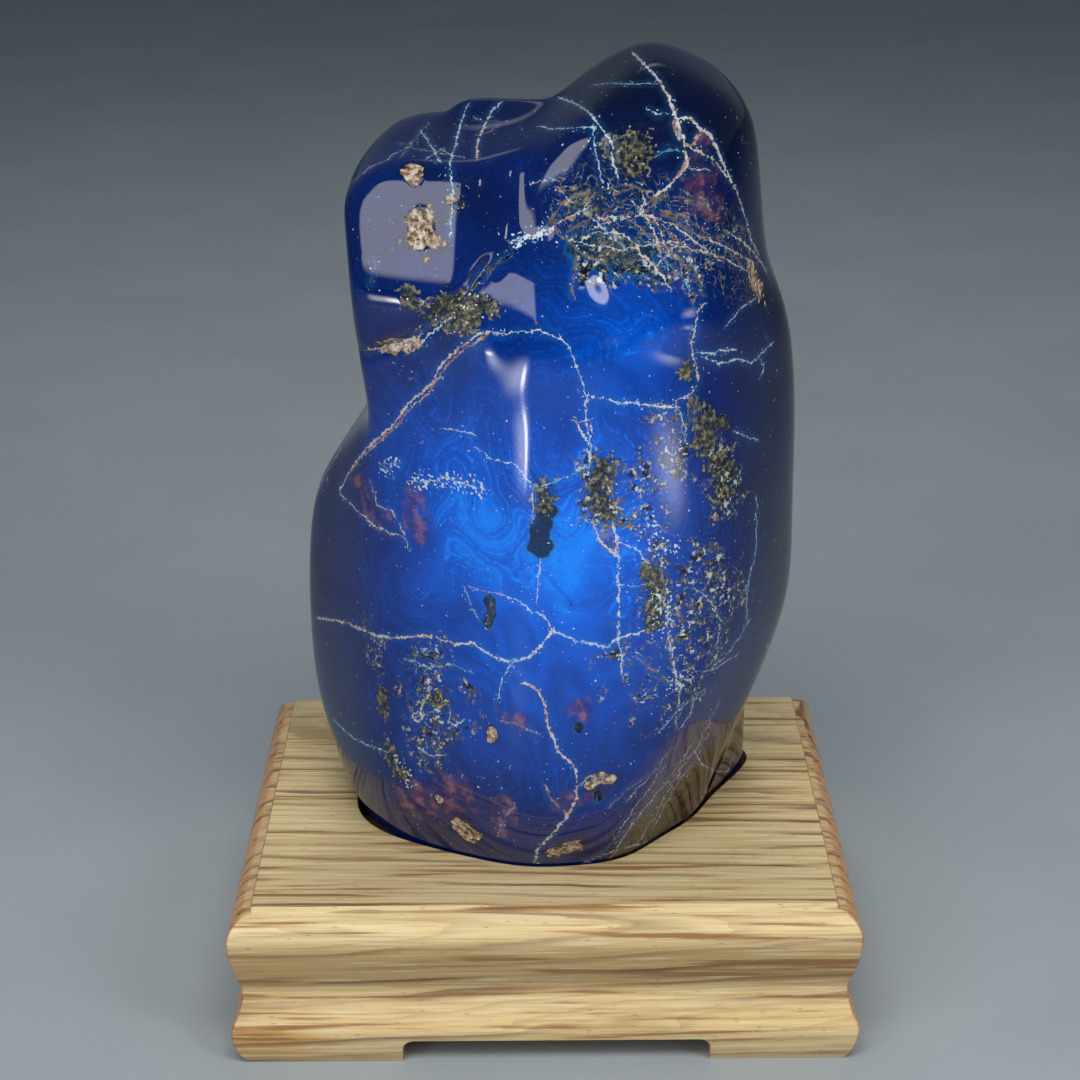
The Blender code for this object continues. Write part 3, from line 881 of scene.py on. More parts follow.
@dataclass(frozen=True)
class FlowFolds:
    """The folded layers that show as flow lines, as a value at each point of the mesh."""

    squash: tuple[float, float, float] = (1.0, 1.0, 0.62)
    folds: tuple[tuple[SlowNoise, float], ...] = (
        (SlowNoise(0.019), 46.0), (SlowNoise(0.085), 11.0), (SlowNoise(0.17), 3.6))
    level: SlowNoise = SlowNoise(0.027, 2, 300.0)
    clear: SlowNoise = SlowNoise(0.045, 2, 500.0)
    cloud: SlowNoise = SlowNoise(0.035, 3, 700.0)
    smudge: SlowNoise = SlowNoise(0.05, 2, 900.0)

    def channels(self, points: np.ndarray) -> np.ndarray:
        """Level of the fold, clearness, cloud and smudge at points in millimetres."""
        folded = points * np.array(self.squash)
        for fold, reach in self.folds:
            folded = folded + reach * fold.drift(points)
        return np.stack((self.level.at(folded), self.clear.at(points), self.cloud.at(points),
                         self.smudge.at(points)), 1)


@dataclass
class Markings:
    """Places the veins, patches and grooves on a mesh of the stone."""

    points: np.ndarray
    normals: np.ndarray
    faces: np.ndarray
    camera: PhotoCamera
    slots: int = 6
    margin: float = 6.0
    far: float = 9.0
    step: float = 1.1
    wobble: float = 0.20
    tree: BVHTree = field(init=False)
    random: np.random.Generator = field(init=False)

    def __post_init__(self) -> None:
        """Make the tree that rays are cast at."""
        self.tree = BVHTree.FromPolygons(self.points.tolist(), self.faces.tolist())
        self.random = np.random.default_rng(SEED)

    def cast(self, spot: np.ndarray, seen: Seen) -> Vector | None:
        """Point of the surface that a pixel, or an azimuth and height, shows."""
        if seen is Seen.PHOTO:
            return self.tree.ray_cast(Vector(self.camera.place), Vector(self.camera.ray(spot)))[0]
        azimuth = math.radians(spot[0])
        out = Vector((math.sin(azimuth), -math.cos(azimuth), 0.0))
        return self.tree.ray_cast(out * 300.0 + Vector((0.0, 0.0, spot[1])), -out)[0]

    def run(self, path: Pixels, seen: Seen, wobble: float) -> np.ndarray:
        """Follow a path over the surface in short, slightly unsteady steps.

        Args:
            path: The path's points.
            seen: How they are given.
            wobble: Sideways play of each step as a share of its length.

        Returns:
            Points on the surface.
        """
        corners = [self.cast(spot, seen) for spot in path]
        found = []
        for (one, start), (other, end) in zip(zip(path, corners), zip(path[1:], corners[1:])):
            if start is None or end is None:
                continue
            one, other = np.array(one, float), np.array(other, float)
            count = max(1, round((end - start).length / self.step))
            along = other - one
            for index in range(count):
                play = self.random.normal() * wobble / count if index else 0.0
                spot = one + along * index / count + np.array((-along[1], along[0])) * play
                found.append(self.cast(spot, seen))
            found.append(end)
        return np.array([point[:] for point in found if point is not None])

    def measure(self, line: np.ndarray, margin: float) -> tuple[np.ndarray, np.ndarray, np.ndarray]:
        """Measure the mesh's points against a line on the surface.

        Args:
            line: Points of the line.
            margin: Distance beyond which a point is left out.

        Returns:
            Numbers of the near points, their distances, and the side of the line each is on.
        """
        inside = np.all((self.points > line.min(0) - margin) & (self.points < line.max(0) + margin), 1)
        near = np.flatnonzero(inside)
        spots, normals = self.points[near], self.normals[near]
        best, side = np.full(len(near), np.inf), np.ones(len(near))
        for start, end in zip(line, line[1:]):
            way = end - start
            share = np.clip((spots - start) @ way / max(way @ way, 1e-9), 0.0, 1.0)
            off = spots - start - share[:, None] * way
            distance = np.linalg.norm(off, axis=1)
            closer = distance < best
            turn = np.einsum("ij,ij->i", np.cross(way, off), normals)
            best = np.where(closer, distance, best)
            side = np.where(closer, np.where(turn < 0, -1.0, 1.0), side)
        return near, best, side

    def vein_slots(self, veins: tuple[Vein, ...]) -> np.ndarray:
        """Share the veins out so that crossing ones are apart.

        Args:
            veins: The veins to place.

        Returns:
            For each slot and point: signed distance, distance, tone and half width.
        """
        table = np.empty((self.slots, len(self.points), 4))
        table[:] = (self.far, self.far, 0.5, 0.3)
        for vein in veins:
            line = self.run(vein.path, vein.seen, self.wobble)
            if len(line) < 2:
                log.warning("vein off the stone: %s", vein.path[:2])
                continue
            near, distance, side = self.measure(line, self.margin)
            crowd = (table[:, near, 1] < 2.6) & (distance < 2.6)
            slot = int(crowd.sum(1).argmin())
            closer = distance < table[slot, near, 1]
            rows = np.stack((side * distance, distance, np.full(len(near), vein.tone.value),
                             np.full(len(near), vein.half)), 1)
            table[slot, near[closer]] = rows[closer]
        return table

    def patch_channels(self, patches: tuple[Patch, ...]) -> tuple[dict, np.ndarray, np.ndarray]:
        """Work out the patches.

        Args:
            patches: The patches to place.

        Returns:
            Four channels for each attribute, how far the surface sinks, and the grains' density.
        """
        channels = {name: np.zeros((len(self.points), 4)) for name in ("patch_a", "patch_b")}
        sunk, grains = np.zeros(len(self.points)), np.zeros(len(self.points))
        for patch in patches:
            line = self.run(patch.path, patch.seen, 0.0)
            if len(line) < 2:
                log.warning("patch off the stone: %s", patch.path)
                continue
            near, distance, _ = self.measure(line, 2.0 * patch.radius)
            share = distance / patch.radius
            name, channel = patch.mark.value
            old = channels[name][near, channel]
            channels[name][near, channel] = np.maximum(old, np.clip(1.0 - 0.5 * share, 0.0, 1.0))
            dip = np.clip(1.0 - share ** 2, 0.0, 1.0) ** 1.5
            sunk[near] = np.maximum(sunk[near], patch.sunk * dip)
            grains[near] = np.maximum(grains[near], patch.grains * (share < 0.95))
        for mark, rough, swing in ((Mark.SMOKE, SlowNoise(0.09, 2), 0.4),
                                   (Mark.SPECKLE, SlowNoise(0.17, 2, 50.0), 2.0),
                                   (Mark.PURPLE, SlowNoise(0.24, 2, 90.0), 1.6)):
            name, channel = mark.value
            channels[name][:, channel] += (rough.at(self.points) - 0.5) * swing
        return channels, sunk, grains

    def groove_depth(self, grooves: tuple[Groove, ...]) -> np.ndarray:
        """How far the grooves sink each point."""
        sunk = np.zeros(len(self.points))
        for groove in grooves:
            line = self.run(groove.path, Seen.PHOTO, 0.0)
            near, distance, _ = self.measure(line, 3.0 * groove.half)
            sunk[near] += groove.depth * np.exp(-(distance / groove.half) ** 2)
        return sunk


# Finishes


def build_vein_group() -> bpy.types.NodeTree:
    """The line of one vein slot: where it is, the space beside it and its tone."""
    graph, given, result = new_group(
        "vein_line", ("*Line", "Half Width", "Play", "Breaks", "Mask", "Tone"), ("Mask", "Tone", "Rim"))
    signed, distance, tone = graph.node("ShaderNodeSeparateXYZ", (given.outputs["Line"],)).outputs
    off = graph.math("ABSOLUTE", graph.math("ADD", signed, given.outputs["Play"]))
    breaks = given.outputs["Breaks"]
    swing = graph.math("MULTIPLY_ADD", graph.math("POWER", breaks, 2.2), 2.9, 0.04)
    width = graph.math("MULTIPLY", given.outputs["Half Width"], swing)
    line = graph.step(off, graph.math("MULTIPLY", width, 1.35), graph.math("MULTIPLY", width, 0.55))
    line = graph.math("MULTIPLY", line, graph.step(distance, 1.7, 1.2))
    line = graph.math("MULTIPLY", line, graph.step(breaks, 0.34, 0.44))
    change = graph.math("MULTIPLY", line, graph.math("SUBTRACT", tone, given.outputs["Tone"]))
    for name, value in (("Mask", graph.math("MAXIMUM", line, given.outputs["Mask"])),
                        ("Rim", graph.step(distance, 2.3, 0.3)),
                        ("Tone", graph.math("ADD", given.outputs["Tone"], change))):
        graph.tree.links.new(value, result.inputs[name])
    return graph.tree


def build_ragged_group() -> bpy.types.NodeTree:
    """A soft mask made ragged by noise, and a wider one, for stains, crust and wood."""
    graph, given, result = new_group("ragged_mask", ("Value", "Noise", "Raggedness"), ("Mask", "Rim"))
    shift = graph.math("MULTIPLY", graph.math("SUBTRACT", given.outputs["Noise"], 0.5),
                       given.outputs["Raggedness"])
    level = graph.math("ADD", given.outputs["Value"], shift)
    graph.tree.links.new(graph.step(level, 0.46, 0.58), result.inputs["Mask"])
    graph.tree.links.new(graph.step(level, 0.30, 0.45), result.inputs["Rim"])
    return graph.tree


@dataclass(frozen=True)
class SharedEffects:
    """Node groups that several finishes place with their own values."""

    vein_line: bpy.types.NodeTree
    ragged_mask: bpy.types.NodeTree

    @classmethod
    def build(cls) -> SharedEffects:
        """Build the groups once."""
        return cls(build_vein_group(), build_ragged_group())

    def ragged(self, graph: Graph, value: Socket, rough: Socket, amount: float) -> tuple:
        """Place the ragged mask in a graph.

        Args:
            graph: Graph it goes into.
            value: Soft mask, a half at its edge.
            rough: Noise that makes the edge ragged.
            amount: How ragged the edge is.

        Returns:
            The mask, and a wider one that reaches just outside it.
        """
        inputs = {"Value": value, "Noise": rough, "Raggedness": amount}
        return tuple(graph.node("ShaderNodeGroup", node_tree=self.ragged_mask, inputs=inputs).outputs)


@dataclass(frozen=True)
class AmberFinish:
    """Polished blue amber with flow lines, filled cracks, stains and specks."""

    effects: SharedEffects
    slots: int
    transmission: float = 0.22
    index: float = 1.54
    roughness: float = 0.035
    # Emission strength: partly the stone's blue fluorescence, partly painted glow that lights the blue in shade.
    painted_glow_strength: float = 0.12
    tones: tuple = ((0.0, (0.0002, 0.003, 0.026)), (0.30, (0.0004, 0.018, 0.155)),
                    (0.62, (0.0006, 0.060, 0.42)), (0.85, (0.0008, 0.118, 0.72)),
                    (1.0, (0.0015, 0.22, 0.96)))
    crumbs: tuple = ((11.0, 0.34, 0.58, (0.0015, 0.004, 0.010)), (31.0, 0.55, 0.575, (0.085, 0.09, 0.045)),
                     (53.0, 0.80, 0.61, (0.36, 0.26, 0.12)), (71.0, 0.70, 0.60, (0.50, 0.57, 0.55)))
    fillings: tuple = ((0.0, (0.001, 0.002, 0.006)), (0.2, (0.11, 0.11, 0.055)),
                       (0.4, (0.36, 0.16, 0.10)), (0.6, (0.66, 0.54, 0.43)),
                       (0.8, (0.50, 0.66, 0.76)), (1.0, (0.04, 0.26, 0.42)))

    def body(self, graph: Graph, painted_glow_and_shade: Socket, grain: Socket) -> tuple[Socket, Socket]:
        """Colour of the clear amber under its markings: folded flow lines, painted light and shade.

        Args:
            graph: Graph it goes into.
            painted_glow_and_shade: Painted light and shade that set how bright the blue is.
            grain: Fine noise that breaks the lines up.

        Returns:
            The colour, and the slow noise that smudges the polish.
        """
        stored = graph.attribute("flow")
        fold, clear, cloud = graph.node("ShaderNodeSeparateXYZ", (stored.outputs["Vector"],)).outputs
        broken = graph.math("MULTIPLY", graph.step(clear, 0.40, 0.56), graph.step(grain, 0.30, 0.60))
        lines = 0.0
        for count, sharpness, strength in ((38.0, 4.0, 1.0), (91.0, 3.0, 0.42)):
            fine = graph.math("FRACT", graph.math("MULTIPLY", fold, count))
            edge = graph.math("ABSOLUTE", graph.math("MULTIPLY_ADD", fine, 2.0, -1.0))
            edge = graph.math("MULTIPLY", graph.math("POWER", edge, sharpness), strength)
            lines = graph.math("MAXIMUM", edge, lines)
        broad = graph.math("MULTIPLY_ADD", graph.math("SINE", graph.math("MULTIPLY", fold, 62.0)), 0.5, 0.5)
        drift = graph.math("MULTIPLY_ADD", cloud, 0.62, -0.31)
        # The painted light and shade sets how bright the blue is here.
        level = graph.math("ADD", painted_glow_and_shade, graph.math("MULTIPLY", drift, graph.math("ADD", painted_glow_and_shade, 0.20)))
        level = graph.math("MULTIPLY_ADD", graph.math("MULTIPLY", broad, painted_glow_and_shade), 0.13, level)
        level = graph.math("MULTIPLY_ADD", grain, 0.10, level)
        bright = graph.math("MULTIPLY_ADD", painted_glow_and_shade, 0.36, 0.03)
        level = graph.math("MULTIPLY_ADD", graph.math("MULTIPLY", lines, broken), bright,
                           graph.math("SUBTRACT", level, 0.15))
        return graph.ramp(level, self.tones), stored.outputs["Alpha"]

    def stains(self, graph: Graph, colour: Socket, coarse: Socket, patches: dict[str, Socket]) -> Socket:
        """Smoky brown, rosy and inky places.

        Args:
            graph: Graph they go into.
            colour: Colour under them.
            coarse: Coarse noise.
            patches: The soft patch masks by name.

        Returns:
            The stained colour.
        """
        brown = graph.ramp(coarse, ((0.38, (0.004, 0.003, 0.003)), (0.52, (0.026, 0.017, 0.008)),
                                    (0.66, (0.085, 0.052, 0.020))))
        smoky = graph.step(patches["smoke"], 0.46, 0.58)
        colour = graph.mix(graph.math("MULTIPLY", smoky, 0.98), colour, brown)
        rosy = graph.ramp(coarse, ((0.38, (0.020, 0.016, 0.12)), (0.50, (0.10, 0.035, 0.10)),
                                   (0.64, (0.34, 0.14, 0.14))))
        veil = graph.step(patches["purple"], 0.30, 0.95)
        colour = graph.mix(graph.math("MULTIPLY", veil, 0.62), colour, rosy)
        ink, rim = self.effects.ragged(graph, patches["dark"], coarse, 1.0)
        colour = graph.mix(graph.math("MULTIPLY", rim, 0.35), colour, (0.01, 0.16, 0.26, 1.0))
        return graph.mix(graph.math("MULTIPLY", ink, 0.88), colour, (0.0008, 0.004, 0.014, 1.0))

    def crumb(self, graph: Graph, where: Socket, offset: float, scale: float, edge: float,
              bias: object = 0.0) -> Socket:
        """Irregular crumbs of mineral.

        Args:
            graph: Graph they go into.
            where: Coordinates in millimetres.
            offset: Shift that makes one kind of crumb differ from the next.
            scale: Crumbs in each millimetre.
            edge: Noise level above which there is one.
            bias: Raises the noise where crumbs gather.

        Returns:
            Their mask.
        """
        moved = graph.vector("ADD", where, (offset, 2.0 * offset, -offset))
        return graph.step(graph.math("ADD", graph.noise(moved, scale, 2.0), bias), edge, edge + 0.035)

    def threads(self, graph: Graph, bent: Socket, stretch: tuple[float, float, float],
                lean: float) -> Socket:
        """Thin tangled threads.

        Args:
            graph: Graph they go into.
            bent: Wandering coordinates in millimetres.
            stretch: Shrinking of the noise along each axis, so that threads run along the least.
            lean: Turn of the axes about Y.

        Returns:
            Their mask.
        """
        turned = graph.node("ShaderNodeVectorRotate", {"Vector": bent, "Axis": (0.0, 1.0, 0.0),
                                                       "Angle": lean}).outputs[0]
        level = graph.noise(graph.vector("MULTIPLY", turned, stretch), 0.42, 1.0)
        ridge = graph.math("ABSOLUTE", graph.math("MULTIPLY_ADD", level, 2.0, -1.0))
        return graph.step(ridge, 0.040, 0.010)

    def minerals(self, graph: Graph, where: Socket, colour: Socket, noises: tuple[Socket, Socket],
                 patches: dict[str, Socket]) -> tuple[Socket, Socket]:
        """Tangles, crusts and crumbs.

        Args:
            graph: Graph they go into.
            where: Coordinates in millimetres.
            colour: Colour under them.
            noises: Fine and coarse noise.
            patches: The soft patch masks by name.

        Returns:
            The colour with them, and the mask of the matt crust.
        """
        grain, coarse = noises
        region = graph.math("MULTIPLY", graph.step(patches["speckle"], 0.40, 0.80),
                            graph.step(coarse, 0.36, 0.52))
        inside = graph.math("MAXIMUM", graph.step(patches["nest"], 0.22, 0.62),
                            graph.math("MULTIPLY", region, 0.8))
        bent = graph.vector("ADD", where, graph.wander(where, 0.09, 9.0, 1.0))
        tangle = graph.math("MAXIMUM", self.threads(graph, bent, (0.33, 0.8, 1.0), -0.38),
                            self.threads(graph, bent, (0.9, 0.8, 0.45), 0.2))
        hue = graph.ramp(grain, ((0.34, (0.008, 0.022, 0.03)), (0.46, (0.075, 0.08, 0.045)),
                                 (0.56, (0.20, 0.19, 0.12)), (0.70, (0.50, 0.50, 0.43))))
        colour = graph.mix(graph.math("MULTIPLY", tangle, inside), colour, hue)
        crust, rim = self.effects.ragged(graph, patches["olive"], grain, 1.9)
        mossy = graph.ramp(grain, ((0.40, (0.003, 0.008, 0.012)), (0.50, (0.030, 0.036, 0.022)),
                                   (0.58, (0.12, 0.11, 0.055)), (0.70, (0.34, 0.29, 0.17))))
        colour = graph.mix(graph.math("MULTIPLY", rim, 0.55), colour, (0.001, 0.008, 0.03, 1.0))
        colour = graph.mix(graph.math("MULTIPLY", crust, 0.92), colour, mossy)
        chalk, rim = self.effects.ragged(graph, patches["beige"], coarse, 1.5)
        sandy = graph.ramp(grain, ((0.34, (0.05, 0.028, 0.018)), (0.46, (0.28, 0.16, 0.09)),
                                   (0.56, (0.54, 0.43, 0.32)), (0.70, (0.76, 0.70, 0.60))))
        colour = graph.mix(graph.math("MULTIPLY", rim, 0.70), colour, (0.004, 0.006, 0.014, 1.0))
        colour = graph.mix(chalk, colour, sandy)
        for offset, scale, edge, tint in self.crumbs:
            crumb = self.crumb(graph, where, offset, scale, edge)
            colour = graph.mix(graph.math("MULTIPLY", crumb, region), colour, (*tint, 1.0))
        return colour, graph.math("MAXIMUM", chalk, graph.math("MULTIPLY", crust, 0.5))

    def veins(self, graph: Graph, where: Socket, noises: tuple[Socket, Socket]) -> tuple:
        """Filled cracks from all slots.

        Args:
            graph: Graph they go into.
            where: Coordinates in millimetres.
            noises: Fine noise that widens and breaks them, and coarse noise that tints them.

        Returns:
            Their mask, their colour and the space beside them.
        """
        grain, coarse = noises
        play = graph.math("MULTIPLY_ADD", graph.noise(where, 1.3, 2.0), 1.5, -0.75)
        mask, tone, rim = 0.0, 0.6, 0.0
        for slot in range(self.slots):
            lines = graph.attribute(f"vein_{slot}")
            inputs = {"Line": lines.outputs["Vector"], "Half Width": lines.outputs["Alpha"],
                      "Play": play, "Breaks": grain, "Mask": mask, "Tone": tone}
            vein = graph.node("ShaderNodeGroup", node_tree=self.effects.vein_line, inputs=inputs)
            mask, tone = vein.outputs["Mask"], vein.outputs["Tone"]
            rim = graph.math("MAXIMUM", vein.outputs["Rim"], rim)
        shift = graph.math("MULTIPLY_ADD", coarse, 0.9, -0.45)
        return mask, graph.ramp(graph.math("ADD", tone, shift), self.fillings), rim

    def build(self) -> bpy.types.Material:
        """Build the material."""
        material, graph, shader = new_material("blue_amber")
        where = graph.place_mm()
        grain, coarse = graph.noise(where, 0.75, 4.0), graph.noise(where, 0.33, 3.0)
        # Painted light and shade of the blue, stored at the mesh's points.
        painted_glow_and_shade = graph.attribute("painted_glow_and_shade").outputs["Fac"]
        colour, smudge = self.body(graph, painted_glow_and_shade, grain)
        patches = {}
        for layer in ("patch_a", "patch_b"):
            node = graph.attribute(layer)
            parts = graph.node("ShaderNodeSeparateXYZ", (node.outputs["Vector"],)).outputs
            for mark in Mark:
                if mark.value[0] == layer:
                    channel = mark.value[1]
                    patches[mark.name.lower()] = node.outputs["Alpha"] if channel == 3 else parts[channel]
        colour = self.stains(graph, colour, coarse, patches)
        colour, matt = self.minerals(graph, where, colour, (grain, coarse), patches)
        mask, filling, rim = self.veins(graph, where, (grain, coarse))
        gather = graph.math("MULTIPLY_ADD", rim, 0.06, graph.math(
            "MULTIPLY", graph.step(patches["white"], 0.30, 0.75), 0.13))
        dust = self.crumb(graph, where, 77.0, 1.15, 0.725, gather)
        colour = graph.mix(dust, colour, (0.60, 0.72, 0.78, 1.0))
        colour = graph.mix(graph.math("MULTIPLY", rim, 0.10), colour, (0.02, 0.24, 0.62, 1.0))
        colour = graph.mix(mask, colour, filling)

        matt = graph.math("MAXIMUM", matt, graph.math("MULTIPLY", mask, 0.15))
        rough = graph.math("MULTIPLY_ADD", matt, 0.5, self.roughness)
        rough = graph.math("MULTIPLY_ADD", graph.step(smudge, 0.4, 0.75), 0.03, rough)
        relief = graph.math("MULTIPLY_ADD", graph.step(patches["nest"], 0.3, 0.7), 0.5, graph.step(
            graph.math("MAXIMUM", patches["olive"], patches["beige"]), 0.45, 0.65))
        height = graph.math("MULTIPLY", graph.noise(where, 1.3, 1.0), relief)
        bump = graph.node("ShaderNodeBump", {"Strength": 0.6, "Distance": 0.0004, "Height": height})
        # Emission follows the painted light: partly the stone's own fluorescence, partly painted glow in the
        # shade.
        painted_glow_colour = graph.mix(graph.math("MULTIPLY", painted_glow_and_shade, painted_glow_and_shade), (0.0, 0.0, 0.0, 1.0), colour)
        for name, value in (("Base Color", colour), ("Roughness", rough), ("Emission Color", painted_glow_colour),
                            ("Normal", bump.outputs["Normal"])):
            graph.tree.links.new(value, shader.inputs[name])
        shader.inputs["Emission Strength"].default_value = self.painted_glow_strength
        shader.inputs["Metallic"].default_value = 0.0
        shader.inputs["IOR"].default_value = self.index
        shader.inputs["Transmission Weight"].default_value = self.transmission
        return material


@dataclass(frozen=True)
class CrustFinish:
    """Mineral grains in the stone's pits."""

    hues: tuple = ((0.0, (0.010, 0.013, 0.010)), (0.30, (0.06, 0.06, 0.03)), (0.5, (0.22, 0.15, 0.08)),
                   (0.72, (0.50, 0.38, 0.26)), (1.0, (0.76, 0.70, 0.60)))

    def build(self) -> bpy.types.Material:
        """Build the material."""
        material, graph, shader = new_material("mineral_grains")
        where = graph.place_mm()
        tint = graph.attribute("tint").outputs["Fac"]
        level = graph.math("MULTIPLY_ADD", graph.noise(where, 1.5, 3.0), 0.5, graph.math("SUBTRACT", tint, 0.25))
        graph.tree.links.new(graph.ramp(level, self.hues), shader.inputs["Base Color"])
        graph.tree.links.new(graph.math("MULTIPLY_ADD", tint, -0.35, 0.75), shader.inputs["Roughness"])
        bump = graph.node("ShaderNodeBump", {"Strength": 0.5, "Distance": 0.0002,
                                             "Height": graph.noise(where, 4.0, 3.0)})
        graph.tree.links.new(bump.outputs["Normal"], shader.inputs["Normal"])
        return material


@dataclass(frozen=True)
class WoodFinish:
    """Pale softwood under satin lacquer, rings round a pith along X, painted shade on its waist."""

    effects: SharedEffects
    pith_y: float = 60.0
    pith_z: float = -70.0
    lean: tuple[float, float] = (0.02, -0.03)
    ring: float = 4.3
    pale: tuple[float, float, float] = (0.74, 0.59, 0.32)
    golden: tuple[float, float, float] = (0.62, 0.41, 0.15)
    late: tuple[float, float, float] = (0.14, 0.050, 0.016)
    sunburnt: tuple[float, float, float] = (0.52, 0.235, 0.085)
    # Painted shade for the moulding's waist, which curves in and faces down.
    shaded: tuple[float, float, float] = (0.40, 0.265, 0.10)

    def rings(self, graph: Graph, where: Socket) -> tuple[Socket, Socket]:
        """Growth rings.

        Args:
            graph: Graph they go into.
            where: Coordinates in millimetres.

        Returns:
            Mask of the dark late wood, and of fainter lines between.
        """
        slow = graph.vector("MULTIPLY", where, (0.22, 1.0, 1.0))
        bent = graph.vector("ADD", where, graph.wander(slow, 0.030, 5.0, 2.0))
        bent = graph.vector("ADD", bent, graph.wander(slow, 0.16, 1.8, 2.0))
        x, y, z = graph.node("ShaderNodeSeparateXYZ", (bent,)).outputs
        dy = graph.math("MULTIPLY_ADD", x, self.lean[0], graph.math("SUBTRACT", y, self.pith_y))
        dz = graph.math("MULTIPLY_ADD", x, self.lean[1], graph.math("SUBTRACT", z, self.pith_z))
        radius = graph.math("SQRT", graph.math("ADD", graph.math("MULTIPLY", dy, dy),
                                               graph.math("MULTIPLY", dz, dz)))
        turns = graph.math("DIVIDE", radius, self.ring)
        own = graph.node("ShaderNodeTexWhiteNoise", {"W": graph.math("FLOOR", turns)},
                         noise_dimensions="1D").outputs["Value"]
        across = graph.math("FRACT", turns)
        line = graph.math("MULTIPLY", graph.step(across, 0.55, 0.90), graph.step(across, 1.0, 0.96))
        worn = graph.step(graph.noise(slow, 0.10, 3.0), 0.30, 0.58)
        strong = graph.math("MULTIPLY", graph.math("POWER", line, 1.5),
                            graph.math("MULTIPLY_ADD", own, 0.65, 0.35))
        between = graph.math("FRACT", graph.math("MULTIPLY_ADD", turns, 2.7, own))
        faint = graph.math("POWER", graph.step(between, 0.45, 1.0), 3.0)
        return graph.math("MULTIPLY", strong, worn), graph.math("MULTIPLY", faint, 0.3)

    def build(self) -> bpy.types.Material:
        """Build the material."""
        material, graph, shader = new_material("lacquered_softwood")
        where = graph.place_mm()
        dark, faint = self.rings(graph, where)
        fibres = graph.noise(graph.vector("MULTIPLY", where, (0.030, 1.0, 1.0)), 1.5, 4.0)
        streaks = graph.noise(graph.vector("MULTIPLY", where, (0.04, 1.0, 1.0)), 0.42, 5.0)
        normal = graph.node("ShaderNodeNewGeometry").outputs["Normal"]
        ends = graph.node("ShaderNodeSeparateXYZ", (normal,)).outputs[0]
        ends = graph.step(graph.math("ABSOLUTE", ends), 0.10, 0.55)
        x, _, height = graph.node("ShaderNodeSeparateXYZ", (where,)).outputs
        low = graph.math("MULTIPLY", graph.step(height, 24.0, 6.0), graph.step(x, 60.0, -80.0))
        burnt, _ = self.effects.ragged(graph, graph.math("MULTIPLY_ADD", low, 0.5, 0.08), streaks, 1.0)
        # Painted shade on the moulding's waist, about 20 to 40 mm up, where it faces down.
        painted_waist_shade = graph.math("MULTIPLY", graph.step(height, 41.0, 34.0), graph.step(height, 19.0, 25.0))
        tone = graph.mix(graph.math("MULTIPLY", graph.step(streaks, 0.38, 0.64), 0.6), (*self.pale, 1.0),
                         (*self.golden, 1.0))
        tone = graph.mix(graph.math("MULTIPLY", graph.step(height, 40.0, 10.0), 0.30), tone,
                         (*self.golden, 1.0))
        # Painted shade laid on the waist.
        tone = graph.mix(graph.math("MULTIPLY", painted_waist_shade, 0.85), tone, (*self.shaded, 1.0))
        tone = graph.mix(graph.math("MULTIPLY", burnt, 0.75), tone, (0.56, 0.27, 0.07, 1.0))
        tone = graph.mix(graph.math("MULTIPLY", ends, 0.8), tone, (*self.sunburnt, 1.0))
        tone = graph.mix(graph.math("MULTIPLY", graph.step(fibres, 0.50, 0.72), 0.42), tone,
                         (0.36, 0.20, 0.075, 1.0))
        tone = graph.mix(graph.math("MULTIPLY", graph.step(fibres, 0.46, 0.30), 0.34), tone,
                         (0.86, 0.80, 0.62, 1.0))
        tone = graph.mix(faint, tone, (0.33, 0.20, 0.085, 1.0))
        tone = graph.mix(graph.math("MULTIPLY", graph.step(streaks, 0.56, 0.65), 0.75), tone,
                         (0.21, 0.080, 0.024, 1.0))
        tone = graph.mix(graph.math("MULTIPLY", dark, 0.95), tone, (*self.late, 1.0))
        pores = graph.node("ShaderNodeTexVoronoi", {
            "Vector": graph.vector("MULTIPLY", where, (0.16, 1.0, 1.0)), "Scale": 1.1})
        chance, _, _ = graph.node("ShaderNodeSeparateXYZ", (pores.outputs["Color"],)).outputs
        pore = graph.math("MULTIPLY", graph.step(pores.outputs["Distance"], 0.20, 0.10),
                          graph.math("LESS_THAN", chance, 0.35))
        tone = graph.mix(graph.math("MULTIPLY", pore, 0.6), tone, (0.20, 0.11, 0.05, 1.0))
        rough = graph.math("MULTIPLY_ADD", fibres, 0.20, 0.26)
        bump = graph.node("ShaderNodeBump", {"Strength": 0.4, "Distance": 0.00018, "Height": fibres})
        for name, value in (("Base Color", tone), ("Roughness", rough),
                            ("Normal", bump.outputs["Normal"])):
            graph.tree.links.new(value, shader.inputs[name])
        shader.inputs["Coat Weight"].default_value = 0.35
        shader.inputs["Coat Roughness"].default_value = 0.16
        shader.inputs["IOR"].default_value = 1.5
        return material


# The stone


